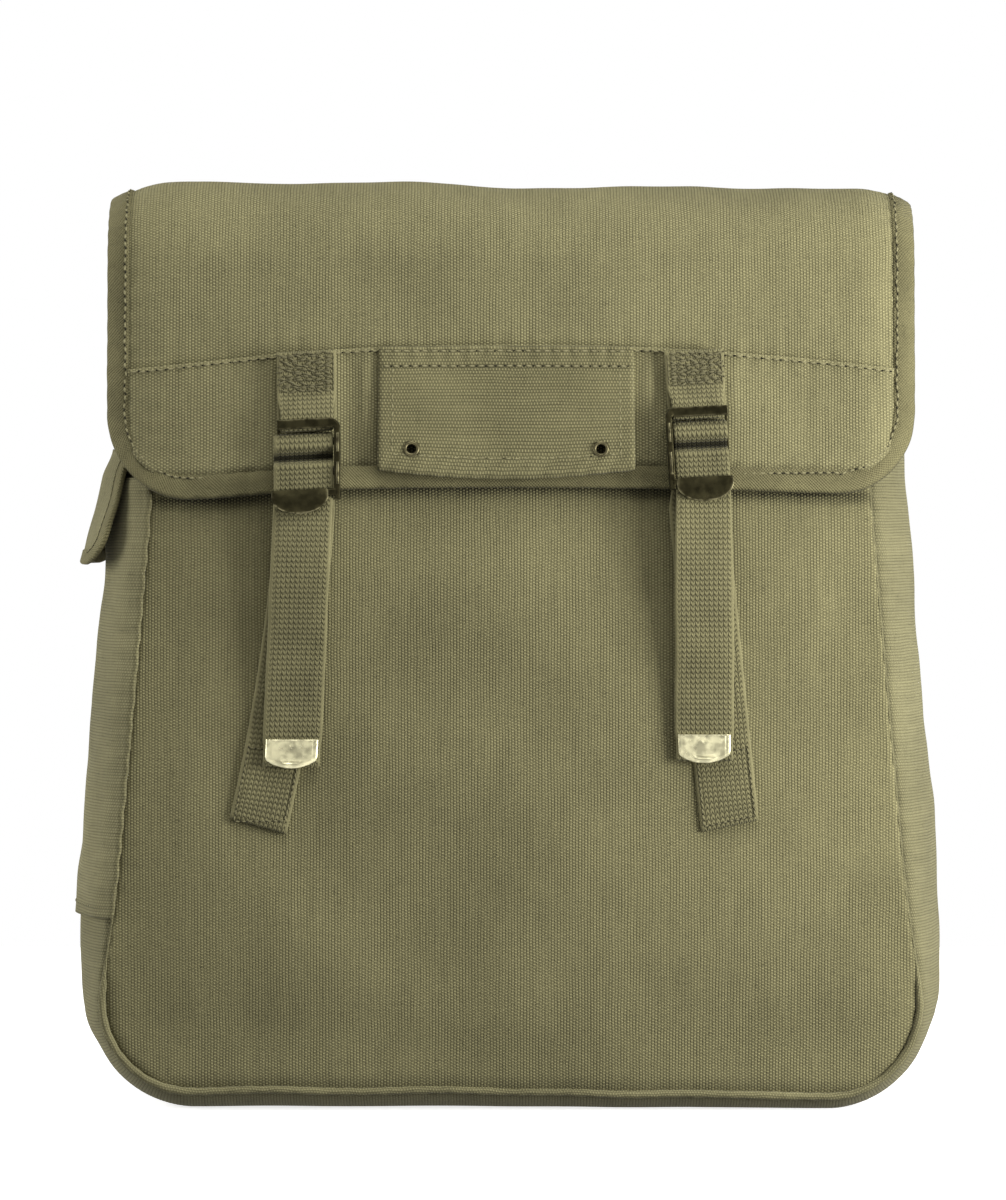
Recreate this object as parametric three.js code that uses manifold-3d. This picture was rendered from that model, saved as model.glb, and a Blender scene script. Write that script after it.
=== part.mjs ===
import * as THREE from 'three';
import { mergeVertices } from 'three/addons/utils/BufferGeometryUtils.js';
import Module from 'manifold-3d';

// A canvas haversack that stands upright and closed. Two panels and a long gusset are sewn into a
// hollow bag. A bound flap covers its mouth, held by two web straps in slide buckles, and a flat
// pocket with a flap of its own sits on the left side.
// Millimetres: x to the viewer's right, y to the back, z up from the surface it stands on.

const wasm = await Module();
wasm.setup();

// Cloth, web and seams
const canvas = 1.2;             // thickness of the canvas
const web = 1.8;                // thickness of the cotton web
const webWidth = 24.4;          // width of the straps
const seamGap = 0.3;            // clearance between sewn or nested pieces
const layerGap = 0.5;           // clearance between the flap and its second layer
const weltRadius = 1.6;         // the rolled seam round the panels

// Bag
const mouthWidth = 296;         // seam to seam at the mouth
const footWidth = 340;          // seam to seam where the panels are widest
const mouthDepth = 84;          // front seam to back seam at the mouth
const bellyDepth = 108;         // front seam to back seam where the bag is fullest
const mouthHeight = 358;        // top edge of the panels
const seamHeight = 9;           // the bottom seams above the floor
const cornerRadius = 36;        // lower corners of the panels
const frontCrown = 8;           // how far the filled front panel swells
const backCrown = 4;            // the same at the back, which lies flatter
const gussetSwell = 17.5;       // how far the gusset swells at the sides

// Flap
const flapRise = 27;            // from the panels' upper edge up to the cloth across the mouth
const flapWidth = 334;          // over the binding
const flapBottom = 258;         // lower edge of the binding at the middle
const flapCornerRadius = 34;    // lower corners over the binding
const cornerDip = 4;            // how much lower the flap hangs at its corners
const flapHem = 30;             // height of the flap's sewn hem on the back panel
const frontTurnRadius = 36;     // bend of the flap at the front of the mouth
const backTurnRadius = 24;      // bend of the flap at the back of the mouth
const edgeCurl = 7;             // how far the flap's sides curl towards the bag
const curlReach = 24;           // width of the curled sides
const bindingWidth = 9.5;       // visible width of the bias tape
const bindingThickness = 3;     // folded tape with the cloth in it
const bindingLift = 2.0;        // room under the flap for the tape's inner fold
const reinforcementHeight = 59; // from the flap's lower edge up to the second layer's upper edge
const reinforcementBow = 9;     // how much lower that upper edge is at its ends

const flapTop = mouthHeight + flapRise;

// Name tab and its eyelets
const tabWidth = 104;
const tabHeight = 50;
const tabMiddle = -2;           // x of its middle
const tabTop = 316;             // z of its sewn upper edge
const tabThickness = 2.2;       // two layers of canvas
const tabBow = 4;               // how much lower its free edge hangs in the middle
const tabLift = 3.2;            // how far the free edge stands off the flap
const tabSewnShare = 0.15;      // share of its height that lies sewn down
const eyeletInset = 13.5;       // from the tab's side edge to an eyelet
const eyeletDrop = 41;          // from the tab's upper edge to the eyelets
const eyeletHole = 2.0;         // radii of the hole and of the rolled rim
const eyeletRim = 3.5;
const eyeletWall = 0.45;
const eyeletBack = 0.8;         // how far the smaller rim behind reaches past the barrel
const eyeletEase = 0.35;        // rounding of the rolled rim

// Buckles, straps and their metal ends
const railGap = 22;             // between a buckle's side rails
const innerRail = 2.4;          // width of the rail nearer the middle of the bag
const outerRail = 1.2;          // width of the low rail under the web's edge
const barRadius = 1.6;          // the two bars that the web bends over
const barSpacing = 12.6;
const webDipShare = 0.75;       // how deep the web dips between the bars
const thumbDrop = 7.2;          // from the second bar to the thumb tab
const pinRadius = 1.0;          // the pin that the chape is looped round
const plate = 1.2;              // thickness of the buckle's front lip and thumb tab
const lipHeight = 4.1;          // the front lip over the chape's loop
const thumbTabWidth = 23.4;
const thumbTabHeight = 10;
const thumbTabSide = 3;         // height of its straight sides
const chapeInset = 2;           // from the second layer's upper edge down to the chapes' sewn ends
const chapeWeb = 1.6;           // thickness of the chape's web
const tipWidth = 22.2;
const tipHeight = 12;
const tipWall = 0.6;

// Side pocket
const pocketBottom = 80;
const pocketTop = 262;
const pocketDepth = 74;         // across the gusset
const pocketStandOff = 0.8;     // cloth eased away from the gusset
const pocketFlapTop = 274;
const pocketFlapHeight = 48;
const pocketFlapRadius = 12;
const pocketFlapLift = 8;       // how far its lower edge stands off
const pocketBindingWidth = 6;
const pocketBindingThickness = 2.4;

// Sections of the bag, as shares: height of the mouth's height, spread from the mouth's width to the
// foot's, belly from the mouth's depth to the fullest, crown and swell of their own full sizes.
const sections = [
  { height: 0.00, spread: 1.00, belly: 0.62, crown: 0.00, swell: 0.48 },
  { height: 0.07, spread: 1.00, belly: 0.72, crown: 0.34, swell: 0.48 },
  { height: 0.15, spread: 0.93, belly: 0.86, crown: 0.68, swell: 0.69 },
  { height: 0.26, spread: 0.68, belly: 0.97, crown: 0.93, swell: 0.95 },
  { height: 0.40, spread: 0.46, belly: 1.00, crown: 1.00, swell: 1.00 },
  { height: 0.60, spread: 0.17, belly: 0.86, crown: 0.86, swell: 1.00 },
  { height: 0.72, spread: 0.02, belly: 0.62, crown: 0.62, swell: 1.00 },
  { height: 0.85, spread: 0.00, belly: 0.30, crown: 0.42, swell: 0.82 },
  { height: 1.00, spread: 0.00, belly: 0.00, crown: 0.24, swell: 0.22 },
];

// Where the closing straps lie: each x is measured from the middle of the bag, and each top is z
const leftBuckleX = -83.9;      // middles of the buckles
const rightBuckleX = 76.3;
const leftBuckleTop = 286.6;    // upper edges of the buckles
const rightBuckleTop = 291.5;
const leftFootX = -104;         // the straps' sewn ends
const rightFootX = 90;
const leftMiddleX = -88;        // the straps halfway up
const rightMiddleX = 80.5;
const leftTipX = -90.3;         // the straps' metal ends
const rightTipX = 79.4;
const leftTail = 112.5;         // from the thumb tab to the end of the web
const rightTail = 115.5;

// side is -1 on the left. tilt turns the buckle, in degrees, and spill is the share of loose web
// that lies past its outer rail.
const closures = [
  {
    name: 'left', side: -1, x: leftBuckleX, top: leftBuckleTop, tilt: 0.5, spill: 1,
    foot: leftFootX, middle: leftMiddleX, tip: leftTipX, tail: leftTail,
  },
  {
    name: 'right', side: 1, x: rightBuckleX, top: rightBuckleTop, tilt: 3.5, spill: 0.3,
    foot: rightFootX, middle: rightMiddleX, tip: rightTipX, tail: rightTail,
  },
];
const strapFoot = 119;          // z of the straps' sewn ends
const strapMiddle = 211;        // z where their middle x is given
const strapFree = 183;          // z where the stitching stops
const strapRiseEnd = 8;         // below the flap's edge, where the strap reaches the buckle's depth
const footSlant = 3.5;          // how far a sewn end slopes across the web
const tailFall = 0.9;           // share of the tail's length over which it comes down to the panel
const tipEase = 2;              // length over which the web narrows into its tip

// Number of steps in the facets of each form
const sideSteps = 10;
const cornerSteps = 5;
const bottomSteps = 8;
const panelSteps = 12;
const roundSteps = 12;

// Colours and finishes
const finishes = {
  canvas: { color: 0x7a7556, roughness: 0.95, metalness: 0 },
  gusset: { color: 0x8a8462, roughness: 0.95, metalness: 0 },
  tape: { color: 0x68653f, roughness: 0.9, metalness: 0 },
  web: { color: 0x6b6849, roughness: 0.92, metalness: 0 },
  blackMetal: { color: 0x2c2a1c, roughness: 0.4, metalness: 0.8 },
  paleMetal: { color: 0xc2bd94, roughness: 0.32, metalness: 0.9 },
  bronze: { color: 0x3a3626, roughness: 0.4, metalness: 0.8 },
};

const { clamp, lerp, smoothstep, degToRad } = THREE.MathUtils;
const vector = (x, y, z) => new THREE.Vector3(x, y, z);
const steps = (count, from = 0, to = 1) =>
  Array.from({ length: count + 1 }, (_, i) => lerp(from, to, i / count));

// A column of the sections table at a height, on a smooth curve through its rows.
function sectionAt(column, z) {
  const share = clamp(z / mouthHeight, 0, 1);
  const above = Math.max(1, sections.findIndex((row) => row.height >= share));
  const row = (i) => sections[clamp(i, 0, sections.length - 1)];
  const change = (i, key) => row(i + 1)[key] - row(i - 1)[key];
  const slope = (i) => change(i, column) / change(i, 'height');
  const span = row(above).height - row(above - 1).height;
  const t = (share - row(above - 1).height) / span;
  const bend = t * t * (3 - 2 * t);
  const rise = slope(above - 1) * (t - 1) * (t - 1) * t + slope(above) * t * t * (t - 1);
  return lerp(row(above - 1)[column], row(above)[column], bend) + rise * span;
}

// Half the panels' width. In the lower corners it follows their radius.
function halfWidthAt(z) {
  const full = lerp(mouthWidth, footWidth, sectionAt('spread', z)) / 2;
  const below = clamp(seamHeight + cornerRadius - z, 0, cornerRadius);
  return full - cornerRadius + Math.sqrt(cornerRadius ** 2 - below ** 2);
}

const halfDepthAt = (z) => lerp(mouthDepth, bellyDepth, sectionAt('belly', z)) / 2;
const crownAt = (x, z) => sectionAt('crown', z) * (1 - (x / halfWidthAt(z)) ** 2);
const frontFace = (x, z) => -halfDepthAt(z) - frontCrown * crownAt(x, z);
const backFace = (x, z) => halfDepthAt(z) + backCrown * crownAt(x, z);

// Merges a geometry's shared vertices and turns its faces outwards.
function closed(geometry) {
  const bare = geometry.clone();
  ['normal', 'uv'].forEach((name) => bare.deleteAttribute(name));
  const merged = mergeVertices(bare, 1e-4);
  const corner = (i) => vector().fromBufferAttribute(merged.attributes.position, merged.index.getX(i));
  let volume = 0;
  for (let i = 0; i < merged.index.count; i += 3) {
    volume += corner(i).dot(corner(i + 1).cross(corner(i + 2)));
  }
  if (volume < 0) merged.index.array.reverse();
  merged.computeVertexNormals();
  return merged;
}

// A closed solid through rings of equal, even counts of points, with both ends capped.
function loft(rings) {
  const count = rings[0].length;
  const last = (rings.length - 1) * count;
  const faces = [];
  for (let r = 0; r < last; r += count) {
    for (let i = 0; i < count; i += 1) {
      const next = (i + 1) % count;
      faces.push(r + i, r + next, r + next + count, r + i, r + next + count, r + i + count);
    }
  }
  for (let i = 0; i < count / 2 - 1; i += 1) {
    const [a, b, c, d] = [i, i + 1, count - 2 - i, count - 1 - i];
    faces.push(a, c, b, a, d, c, last + a, last + b, last + c, last + a, last + c, last + d);
  }
  const geometry = new THREE.BufferGeometry();
  const positions = rings.flat().flatMap((point) => point.toArray());
  geometry.setAttribute('position', new THREE.Float32BufferAttribute(positions, 3));
  geometry.setIndex(faces);
  return closed(geometry);
}

// Normals of a grid of points, from each point's neighbours.
function gridNormals(grid) {
  const at = (r, c) => grid[clamp(r, 0, grid.length - 1)][clamp(c, 0, grid[0].length - 1)];
  return grid.map((row, r) => row.map((_, c) => {
    const across = at(r, c + 1).clone().sub(at(r, c - 1));
    const along = at(r + 1, c).clone().sub(at(r - 1, c));
    return across.cross(along).normalize();
  }));
}

// A cloth wall of even thickness about a grid of points.
function cloth(grid, thickness = canvas) {
  const normals = gridNormals(grid);
  const face = (r, side) =>
    grid[r].map((point, c) => point.clone().addScaledVector(normals[r][c], side * thickness / 2));
  return loft(grid.map((_, r) => [...face(r, 1), ...face(r, -1).reverse()]));
}

function manifold(geometry) {
  const { position } = geometry.attributes;
  const vertProperties = new Float32Array(position.array);
  return new wasm.Manifold(new wasm.Mesh({
    numProp: 3,
    vertProperties,
    triVerts: new Uint32Array(geometry.index.array),
  }));
}

function fromManifold(solid) {
  const { vertProperties, triVerts, numProp } = solid.getMesh();
  const geometry = new THREE.BufferGeometry();
  geometry.setAttribute('position', new THREE.Float32BufferAttribute(vertProperties, numProp));
  geometry.setIndex([...triVerts]);
  geometry.computeVertexNormals();
  return geometry;
}

const fused = (...parts) => parts.map(manifold).reduce((sum, part) => sum.add(part));
const cut = (body, ...tools) =>
  fromManifold(tools.map(manifold).reduce((rest, tool) => rest.subtract(tool), body));

// A geometry with every vertex moved by a function of its own place.
function mapped(geometry, place) {
  const result = geometry.clone();
  const { position } = result.attributes;
  for (let i = 0; i < position.count; i += 1) {
    position.setXYZ(i, ...place(vector().fromBufferAttribute(position, i)).toArray());
  }
  return closed(result);
}

// The panels, in rows from the bottom seam to the mouth, inside the rolled seam
const cornerTop = seamHeight + cornerRadius;
const cornerMiddle = halfWidthAt(cornerTop) - cornerRadius;
const cornerAngles = steps(cornerSteps, 0, Math.PI / 2);
const sideHeights = steps(sideSteps, cornerTop, mouthHeight);
const seamInset = weltRadius + seamGap;

function panel(face) {
  const radius = cornerRadius - seamInset;
  const lower = cornerAngles.slice(0, -1).map((angle) => ({
    z: cornerTop - radius * Math.cos(angle),
    half: cornerMiddle + radius * Math.sin(angle),
  }));
  const upper = sideHeights.map((z) => ({ z, half: halfWidthAt(z) - seamInset }));
  return cloth([...lower, ...upper].map(({ z, half }) =>
    steps(panelSteps, -1, 1).map((u) => vector(u * half, face(u * halfWidthAt(z), z), z))));
}

// Places along the bag's seam, down the left side, under the bag and up the right side. Each has the
// seam's own point, the way out of the bag there, and how far it belongs to the bottom.
const sidePlaces = sideHeights.map((z) => ({ x: halfWidthAt(z), z, outX: 1, outZ: 0, under: 0 }));
const cornerPlaces = cornerAngles.slice(0, -1).map((angle) => ({
  x: cornerMiddle + cornerRadius * Math.sin(angle),
  z: cornerTop - cornerRadius * Math.cos(angle),
  outX: Math.sin(angle),
  outZ: -Math.cos(angle),
  under: 1 - angle / (Math.PI / 2),
}));
const rightPlaces = [...cornerPlaces, ...sidePlaces];
const leftPlaces = rightPlaces.map((place) => ({ ...place, x: -place.x, outX: -place.outX }));
const bottomPlaces = steps(bottomSteps, -cornerMiddle, cornerMiddle).slice(1, -1)
  .map((x) => ({ x, z: seamHeight, outX: 0, outZ: -1, under: 1 }));
const seamPlaces = [...leftPlaces.reverse(), ...bottomPlaces, ...rightPlaces];

// Height of the flap's cloth over the mouth, so that the gusset's top edge can follow it.
const frontTurnHeight = flapTop - frontTurnRadius;
const backTurnHeight = flapTop - backTurnRadius;
const flapStandOff = canvas / 2 + bindingLift + bindingThickness / 2;
const flapFrontY = frontFace(0, frontTurnHeight) - flapStandOff;
const hemOut = weltRadius + seamGap + canvas / 2;
const flapBackY = backFace(0, backTurnHeight) + hemOut;
const flapHalf = flapWidth / 2;
const curlAt = (x) => edgeCurl * clamp((Math.abs(x) - flapHalf + curlReach) / curlReach, 0, 2) ** 2;

function flapHeightAt(y) {
  const front = Math.max(0, flapFrontY + frontTurnRadius - y);
  const back = Math.max(0, y - flapBackY + backTurnRadius);
  const sag = (radius, reach) => radius - Math.sqrt(Math.max(0, radius ** 2 - reach ** 2));
  return flapTop - sag(frontTurnRadius, front) - sag(backTurnRadius, back);
}

// The gusset across its width: 0 at the front seam, 1 at the back seam.
const gussetColumns = [0, 0.05, 0.13, 0.27, 0.5, 0.73, 0.87, 0.95, 1];
const flatShare = 0.46;         // share of the bottom's depth that lies flat
const riseStart = 0.82;         // share of the mouth's height where the gusset's ends rise
const roundProfile = (t) => Math.sin(Math.PI * t) ** 0.75;
const flatProfile = (t) => 1 - clamp((Math.abs(2 * t - 1) - flatShare) / (1 - flatShare), 0, 1) ** 3;

function gussetPoint({ x, z, outX, outZ, under }, t) {
  const half = halfDepthAt(z) - seamInset;
  const y = lerp(-half, half, t);
  const round = gussetSwell * sectionAt('swell', z) * roundProfile(t);
  const flat = (seamHeight - canvas / 2) * flatProfile(t);
  const out = lerp(round, flat, under);
  const ceiling = flapHeightAt(y) - canvas - seamGap - curlAt(x + outX * out);
  const start = riseStart * mouthHeight;
  const share = clamp((z - start) / (mouthHeight - start), 0, 1);
  const rise = (ceiling - mouthHeight) * Math.sqrt(Math.sin(Math.PI * t)) * share;
  return vector(x + outX * out, y, z + outZ * out + rise);
}

const gusset = cloth(seamPlaces.map((place) => gussetColumns.map((t) => gussetPoint(place, t))));

// A rolled seam along the seam's places, on the front or the back.
function seamWelt(side) {
  const angles = steps(6, 0, 2 * Math.PI).slice(0, -1);
  return loft(seamPlaces.map(({ x, z, outX, outZ }) => angles.map((angle) => {
    const out = weltRadius * Math.cos(angle);
    const y = side * halfDepthAt(z) + weltRadius * Math.sin(angle);
    return vector(x + outX * out, y, z + outZ * out);
  })));
}

// The flap's cloth. s runs along it from the hem at the back, over the mouth, to the lower front edge.
const backRise = flapHem;
const backTurnEnd = backRise + backTurnRadius * Math.PI / 2;
const topEnd = backTurnEnd + (flapBackY - backTurnRadius) - (flapFrontY + frontTurnRadius);
const frontStart = topEnd + frontTurnRadius * Math.PI / 2;
const flapLength = frontStart + frontTurnHeight - flapBottom;

function flapPoint(x, s) {
  const curl = curlAt(x);
  if (s < backRise) {
    const z = backTurnHeight - backRise + s;
    return vector(x, backFace(x, z) + hemOut - curl, z);
  }
  if (s < backTurnEnd) {
    const angle = (s - backRise) / backTurnRadius;
    const radius = backTurnRadius - curl;
    const swell = backFace(x, backTurnHeight) - backFace(0, backTurnHeight);
    const y = flapBackY - backTurnRadius + (radius + swell) * Math.cos(angle);
    return vector(x, y, backTurnHeight + radius * Math.sin(angle));
  }
  if (s < topEnd) {
    return vector(x, flapBackY - backTurnRadius - (s - backTurnEnd), flapTop - curl);
  }
  if (s < frontStart) {
    const angle = (s - topEnd) / frontTurnRadius;
    const radius = frontTurnRadius - curl;
    const swell = frontFace(x, frontTurnHeight) - frontFace(0, frontTurnHeight);
    const y = flapFrontY + frontTurnRadius - (radius - swell) * Math.sin(angle);
    return vector(x, y, frontTurnHeight + radius * Math.cos(angle));
  }
  const down = clamp((s - frontStart) / (flapLength - frontStart), 0, 2);
  const z = frontTurnHeight - (s - frontStart) - cornerDip * (x / flapHalf) ** 2 * down;
  return vector(x, frontFace(x, z) - flapStandOff + curl, z);
}

// Cloth with rounded lower corners, on a surface given by a function of (across, down). rows are the
// places down its straight sides, and columns its shares across.
function tongue(surface, { half, length, radius, rows, columns, thickness = canvas, top = () => 0 }) {
  const turns = cornerAngles.slice(1).map((angle) => ({
    s: length - radius + radius * Math.sin(angle),
    reach: half - radius + radius * Math.cos(angle),
  }));
  const all = [...rows.map((s) => ({ s, reach: half })), ...turns];
  return cloth(all.map(({ s, reach }, r) => columns.map((u) => {
    const share = 1 - r / (all.length - 1);
    return surface(u * reach, s + top(u * reach) * share);
  })), thickness);
}

// The normal of a surface given by a function of (across, down).
function surfaceNormal(surface, x, s) {
  const nearby = 0.5;
  const point = surface(x, s);
  const across = surface(x + nearby, s).sub(point);
  return across.cross(surface(x, s + nearby).sub(point)).normalize();
}

// Folded tape round the same edge: it starts at the edge itself and is width wide.
function binding(surface, { half, length, radius, rows, width, thickness, across }) {
  const sides = rows.map((s) => ({ x: half, s, inX: -1, inS: 0 }));
  const corner = cornerAngles.slice(1).map((angle) => ({
    x: half - radius + radius * Math.cos(angle),
    s: length - radius + radius * Math.sin(angle),
    inX: -Math.cos(angle),
    inS: -Math.sin(angle),
  }));
  const right = [...sides, ...corner];
  const left = right.map((place) => ({ ...place, x: -place.x, inX: -place.inX }));
  const middle = steps(across, half - radius, radius - half).slice(1, -1)
    .map((x) => ({ x, s: length, inX: 0, inS: -1 }));
  return loft([...right, ...middle, ...left.reverse()].map(({ x, s, inX, inS }) => {
    const fold = [[0, 0.25], [thickness / 2, 0.5], [width, 0.5]].map(([reach, share]) => {
      const point = surface(x + inX * reach, s + inS * reach);
      const lift = surfaceNormal(surface, x + inX * reach, s + inS * reach).setLength(thickness * share);
      return { point, lift };
    });
    const upper = fold.map(({ point, lift }) => point.clone().add(lift));
    const lower = fold.map(({ point, lift }) => point.clone().sub(lift));
    return [...upper, ...lower.reverse()];
  }));
}

// Columns across the flap, closer together where its sides curl.
const clothHalf = flapHalf - bindingWidth - seamGap;
const curlColumns = [0, 0.3, 0.65].map((share) => 1 - share * curlReach / clothHalf);
const flapColumns = [
  ...curlColumns.map((u) => -u),
  ...steps(7, -1 + curlReach / clothHalf, 1 - curlReach / clothHalf),
  ...curlColumns.slice().reverse(),
];
const flapRows = [
  0,
  ...steps(4, backRise, backTurnEnd),
  ...steps(2, backTurnEnd, topEnd).slice(1),
  ...steps(5, topEnd, frontStart).slice(1),
];
const bindingInset = bindingWidth + seamGap;
const clothLength = flapLength - bindingInset;
const clothRadius = flapCornerRadius - bindingInset;
const flapClothRows = [...flapRows, ...steps(3, frontStart, clothLength - clothRadius).slice(1)];
const flap = tongue(flapPoint, {
  half: clothHalf, length: clothLength, radius: clothRadius, rows: flapClothRows, columns: flapColumns,
});
const flapBinding = binding(flapPoint, {
  half: flapHalf,
  length: flapLength,
  radius: flapCornerRadius,
  rows: [...flapRows, ...steps(3, frontStart, flapLength - flapCornerRadius).slice(1)],
  width: bindingWidth,
  thickness: bindingThickness,
  across: 12,
});

// Layers in front of the flap: a point on its front at a height, and how far out from its cloth.
const reinforcementOut = canvas + layerGap;
const layerOut = reinforcementOut + canvas / 2;
const onFlap = (x, z, out) => flapPoint(x, frontStart + frontTurnHeight - z).add(vector(0, -out, 0));
const reinforcementTop = flapLength - reinforcementHeight;
const reinforcement = tongue((x, s) => flapPoint(x, s).add(vector(0, -reinforcementOut, 0)), {
  half: clothHalf - reinforcementOut - layerGap,
  length: clothLength - 2 * layerGap,
  radius: clothRadius,
  rows: steps(3, reinforcementTop, clothLength - 2 * layerGap - clothRadius),
  columns: flapColumns,
  top: (x) => reinforcementBow * (x / clothHalf) ** 2,
});

// The name tab: sewn along its upper edge, its free edge standing off, with two eyelets.
const tabOut = layerOut + seamGap + tabThickness / 2;
function tabPoint(across, down) {
  const share = down / tabHeight;
  const bow = tabBow * (1 - (2 * across / tabWidth) ** 2) * share ** 3;
  const out = tabOut + tabLift * smoothstep(share, tabSewnShare, 1);
  return onFlap(tabMiddle + across, tabTop - down - bow, out);
}

function eyeletPlace(side) {
  const across = side * (tabWidth / 2 - eyeletInset);
  const point = tabPoint(across, eyeletDrop);
  const out = surfaceNormal(tabPoint, across, eyeletDrop);
  const turn = new THREE.Quaternion().setFromUnitVectors(vector(0, 1, 0), out);
  return (local) => local.applyQuaternion(turn).add(point);
}

// An eyelet about its own y axis: a rolled rim at the front, a barrel, and a smaller rim behind.
function eyelet(side) {
  const face = tabThickness / 2 + seamGap;
  const barrel = eyeletHole + eyeletWall;
  const profile = [
    [eyeletHole, -face - eyeletWall], [barrel + eyeletBack, -face - eyeletWall],
    [barrel + eyeletBack, -face], [barrel, -face], [barrel, face], [eyeletRim, face],
    [eyeletRim - eyeletEase, face + eyeletWall], [eyeletHole + eyeletEase, face + 2 * eyeletWall],
    [eyeletHole, face + eyeletWall], [eyeletHole, -face - eyeletWall],
  ].map(([r, y]) => new THREE.Vector2(r, y));
  return mapped(new THREE.LatheGeometry(profile, roundSteps), eyeletPlace(side));
}

const tabBlank = cloth(steps(5, 0, tabHeight).map((down) =>
  steps(8, -tabWidth / 2, tabWidth / 2).map((across) => tabPoint(across, down))), tabThickness);
const boreRadius = eyeletHole + eyeletWall + seamGap;
const eyeletBore = new THREE.CylinderGeometry(boreRadius, boreRadius, 4 * tabThickness, roundSteps);
const nameTab = cut(manifold(tabBlank), ...[-1, 1].map((side) => mapped(eyeletBore, eyeletPlace(side))));

// A flat web through a list of places. Each place has the ends of its middle line and the way out.
function flatWeb(places, thickness) {
  return loft(places.map(({ left, right, out }) => {
    const lift = out.clone().multiplyScalar(thickness / 2);
    return [left.clone().add(lift), right.clone().add(lift), right.clone().sub(lift), left.clone().sub(lift)];
  }));
}

// A buckle's own frame. u runs away from the middle of the bag, h up from the buckle's upper edge
// and d out from the face of the flap's second layer.
function buckleFrame({ side, x, top, tilt }) {
  const origin = onFlap(x, top, layerOut);
  const reach = webWidth / 2;
  const up = origin.clone().sub(onFlap(x, top - reach, layerOut)).normalize();
  const right = onFlap(x + reach, top, layerOut).sub(onFlap(x - reach, top, layerOut)).normalize();
  const out = right.clone().cross(up).normalize();
  right.applyAxisAngle(out, degToRad(tilt));
  up.applyAxisAngle(out, degToRad(tilt));
  const toward = (h, d) => up.clone().multiplyScalar(h).addScaledVector(out, d);
  return {
    place: (u, h, d) => toward(h, d).add(origin).addScaledVector(right, side * u),
    toward: (h, d) => toward(h, d).normalize(),
  };
}

// Depths and heights in a buckle: the web comes up behind it, turns over the first bar, dips, and
// passes over the second bar and behind the thumb tab.
const loadDepth = seamGap + web / 2;
const webWrap = barRadius + seamGap + web / 2;
const barDepth = loadDepth + webWrap;
const frontDepth = barDepth + webWrap;
const railBack = loadDepth + web / 2 + seamGap;
const plateDepth = frontDepth + web / 2 + seamGap;
const pinHeight = -lipHeight / 2;
const chapeWrap = pinRadius + seamGap + chapeWeb / 2;
const firstBar = pinHeight - chapeWrap - chapeWeb / 2 - 2 * seamGap - web / 2 - webWrap;
const secondBar = firstBar - barSpacing;
const thumbTabTop = secondBar - thumbDrop;
const webDip = webDipShare * webWrap;
const webEdge = railGap / 2 - seamGap;
const spillWidth = webWidth - 2 * webEdge;

// A box between two corners, given in a buckle's own frame.
function block([u0, h0, d0], [u1, h1, d1]) {
  const box = new THREE.BoxGeometry(u1 - u0, h1 - h0, d1 - d0);
  box.translate((u0 + u1) / 2, (h0 + h1) / 2, (d0 + d1) / 2);
  return closed(box);
}

function bar(radius, from, to, h, d) {
  const rod = new THREE.CylinderGeometry(radius, radius, to - from, roundSteps);
  rod.rotateZ(Math.PI / 2);
  rod.translate((from + to) / 2, h, d);
  return closed(rod);
}

// The thumb tab: straight along the top and half round below.
function thumbTab(spill) {
  const middle = spill * spillWidth;
  const half = thumbTabWidth / 2;
  const outline = new THREE.Shape();
  outline.moveTo(middle - half, thumbTabTop);
  outline.lineTo(middle + half, thumbTabTop);
  const fall = thumbTabHeight - thumbTabSide;
  outline.absellipse(middle, thumbTabTop - thumbTabSide, half, fall, 0, Math.PI, true);
  const shape = new THREE.ExtrudeGeometry(outline, { depth: plate, bevelEnabled: false, curveSegments: 10 });
  shape.translate(0, 0, plateDepth);
  return closed(shape);
}

function buckle(closure) {
  const { place } = buckleFrame(closure);
  const inner = -railGap / 2;
  const outer = railGap / 2;
  const ends = [inner - innerRail / 2, outer + outerRail / 2];
  const frontEdge = plateDepth + plate;
  const lowRail = frontDepth - webDip - web / 2 - seamGap;
  const lip = barDepth + chapeWrap + chapeWeb / 2 + seamGap;
  const body = fused(
    block([inner - innerRail, thumbTabTop - thumbTabSide, railBack], [inner, 0, frontEdge]),
    block([outer, secondBar - barRadius, railBack], [outer + outerRail, 0, lowRail]),
    block([outer, -lipHeight, railBack], [outer + outerRail, 0, lip + plate]),
    block([ends[0], -lipHeight, lip], [ends[1], 0, lip + plate]),
    block([ends[0], thumbTabTop - thumbTabSide, plateDepth], [0, thumbTabTop, frontEdge]),
    bar(pinRadius, ...ends, pinHeight, barDepth),
    bar(barRadius, ...ends, firstBar, barDepth),
    bar(barRadius, ...ends, secondBar, barDepth),
    thumbTab(closure.spill),
  );
  return mapped(fromManifold(body), ({ x, y, z }) => place(x, y, z));
}

// A web of a given width about places in a buckle's frame: [height, depth, lower u, upper u].
function inBuckle({ place, toward }, rows) {
  return rows.map(([h, d, from, to], i) => {
    const [h0, d0] = rows[Math.max(0, i - 1)];
    const [h1, d1] = rows[Math.min(rows.length - 1, i + 1)];
    return { left: place(from, h, d), right: place(to, h, d), out: toward(d1 - d0, h0 - h1) };
  });
}

// The chape's layers, as shares of its length above the buckle. lift is the share of the way out to
// the loop round the pin.
const chapeFront = [
  { share: 1, lift: 0 },
  { share: 0.45, lift: 0.1 },
  { share: 0.14, lift: 0.75 },
];
const chapeBack = [
  { share: 0.14, lift: 0.6 },
  { share: 0.45, lift: 0 },
  { share: 0.94, lift: 0 },
];

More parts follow.
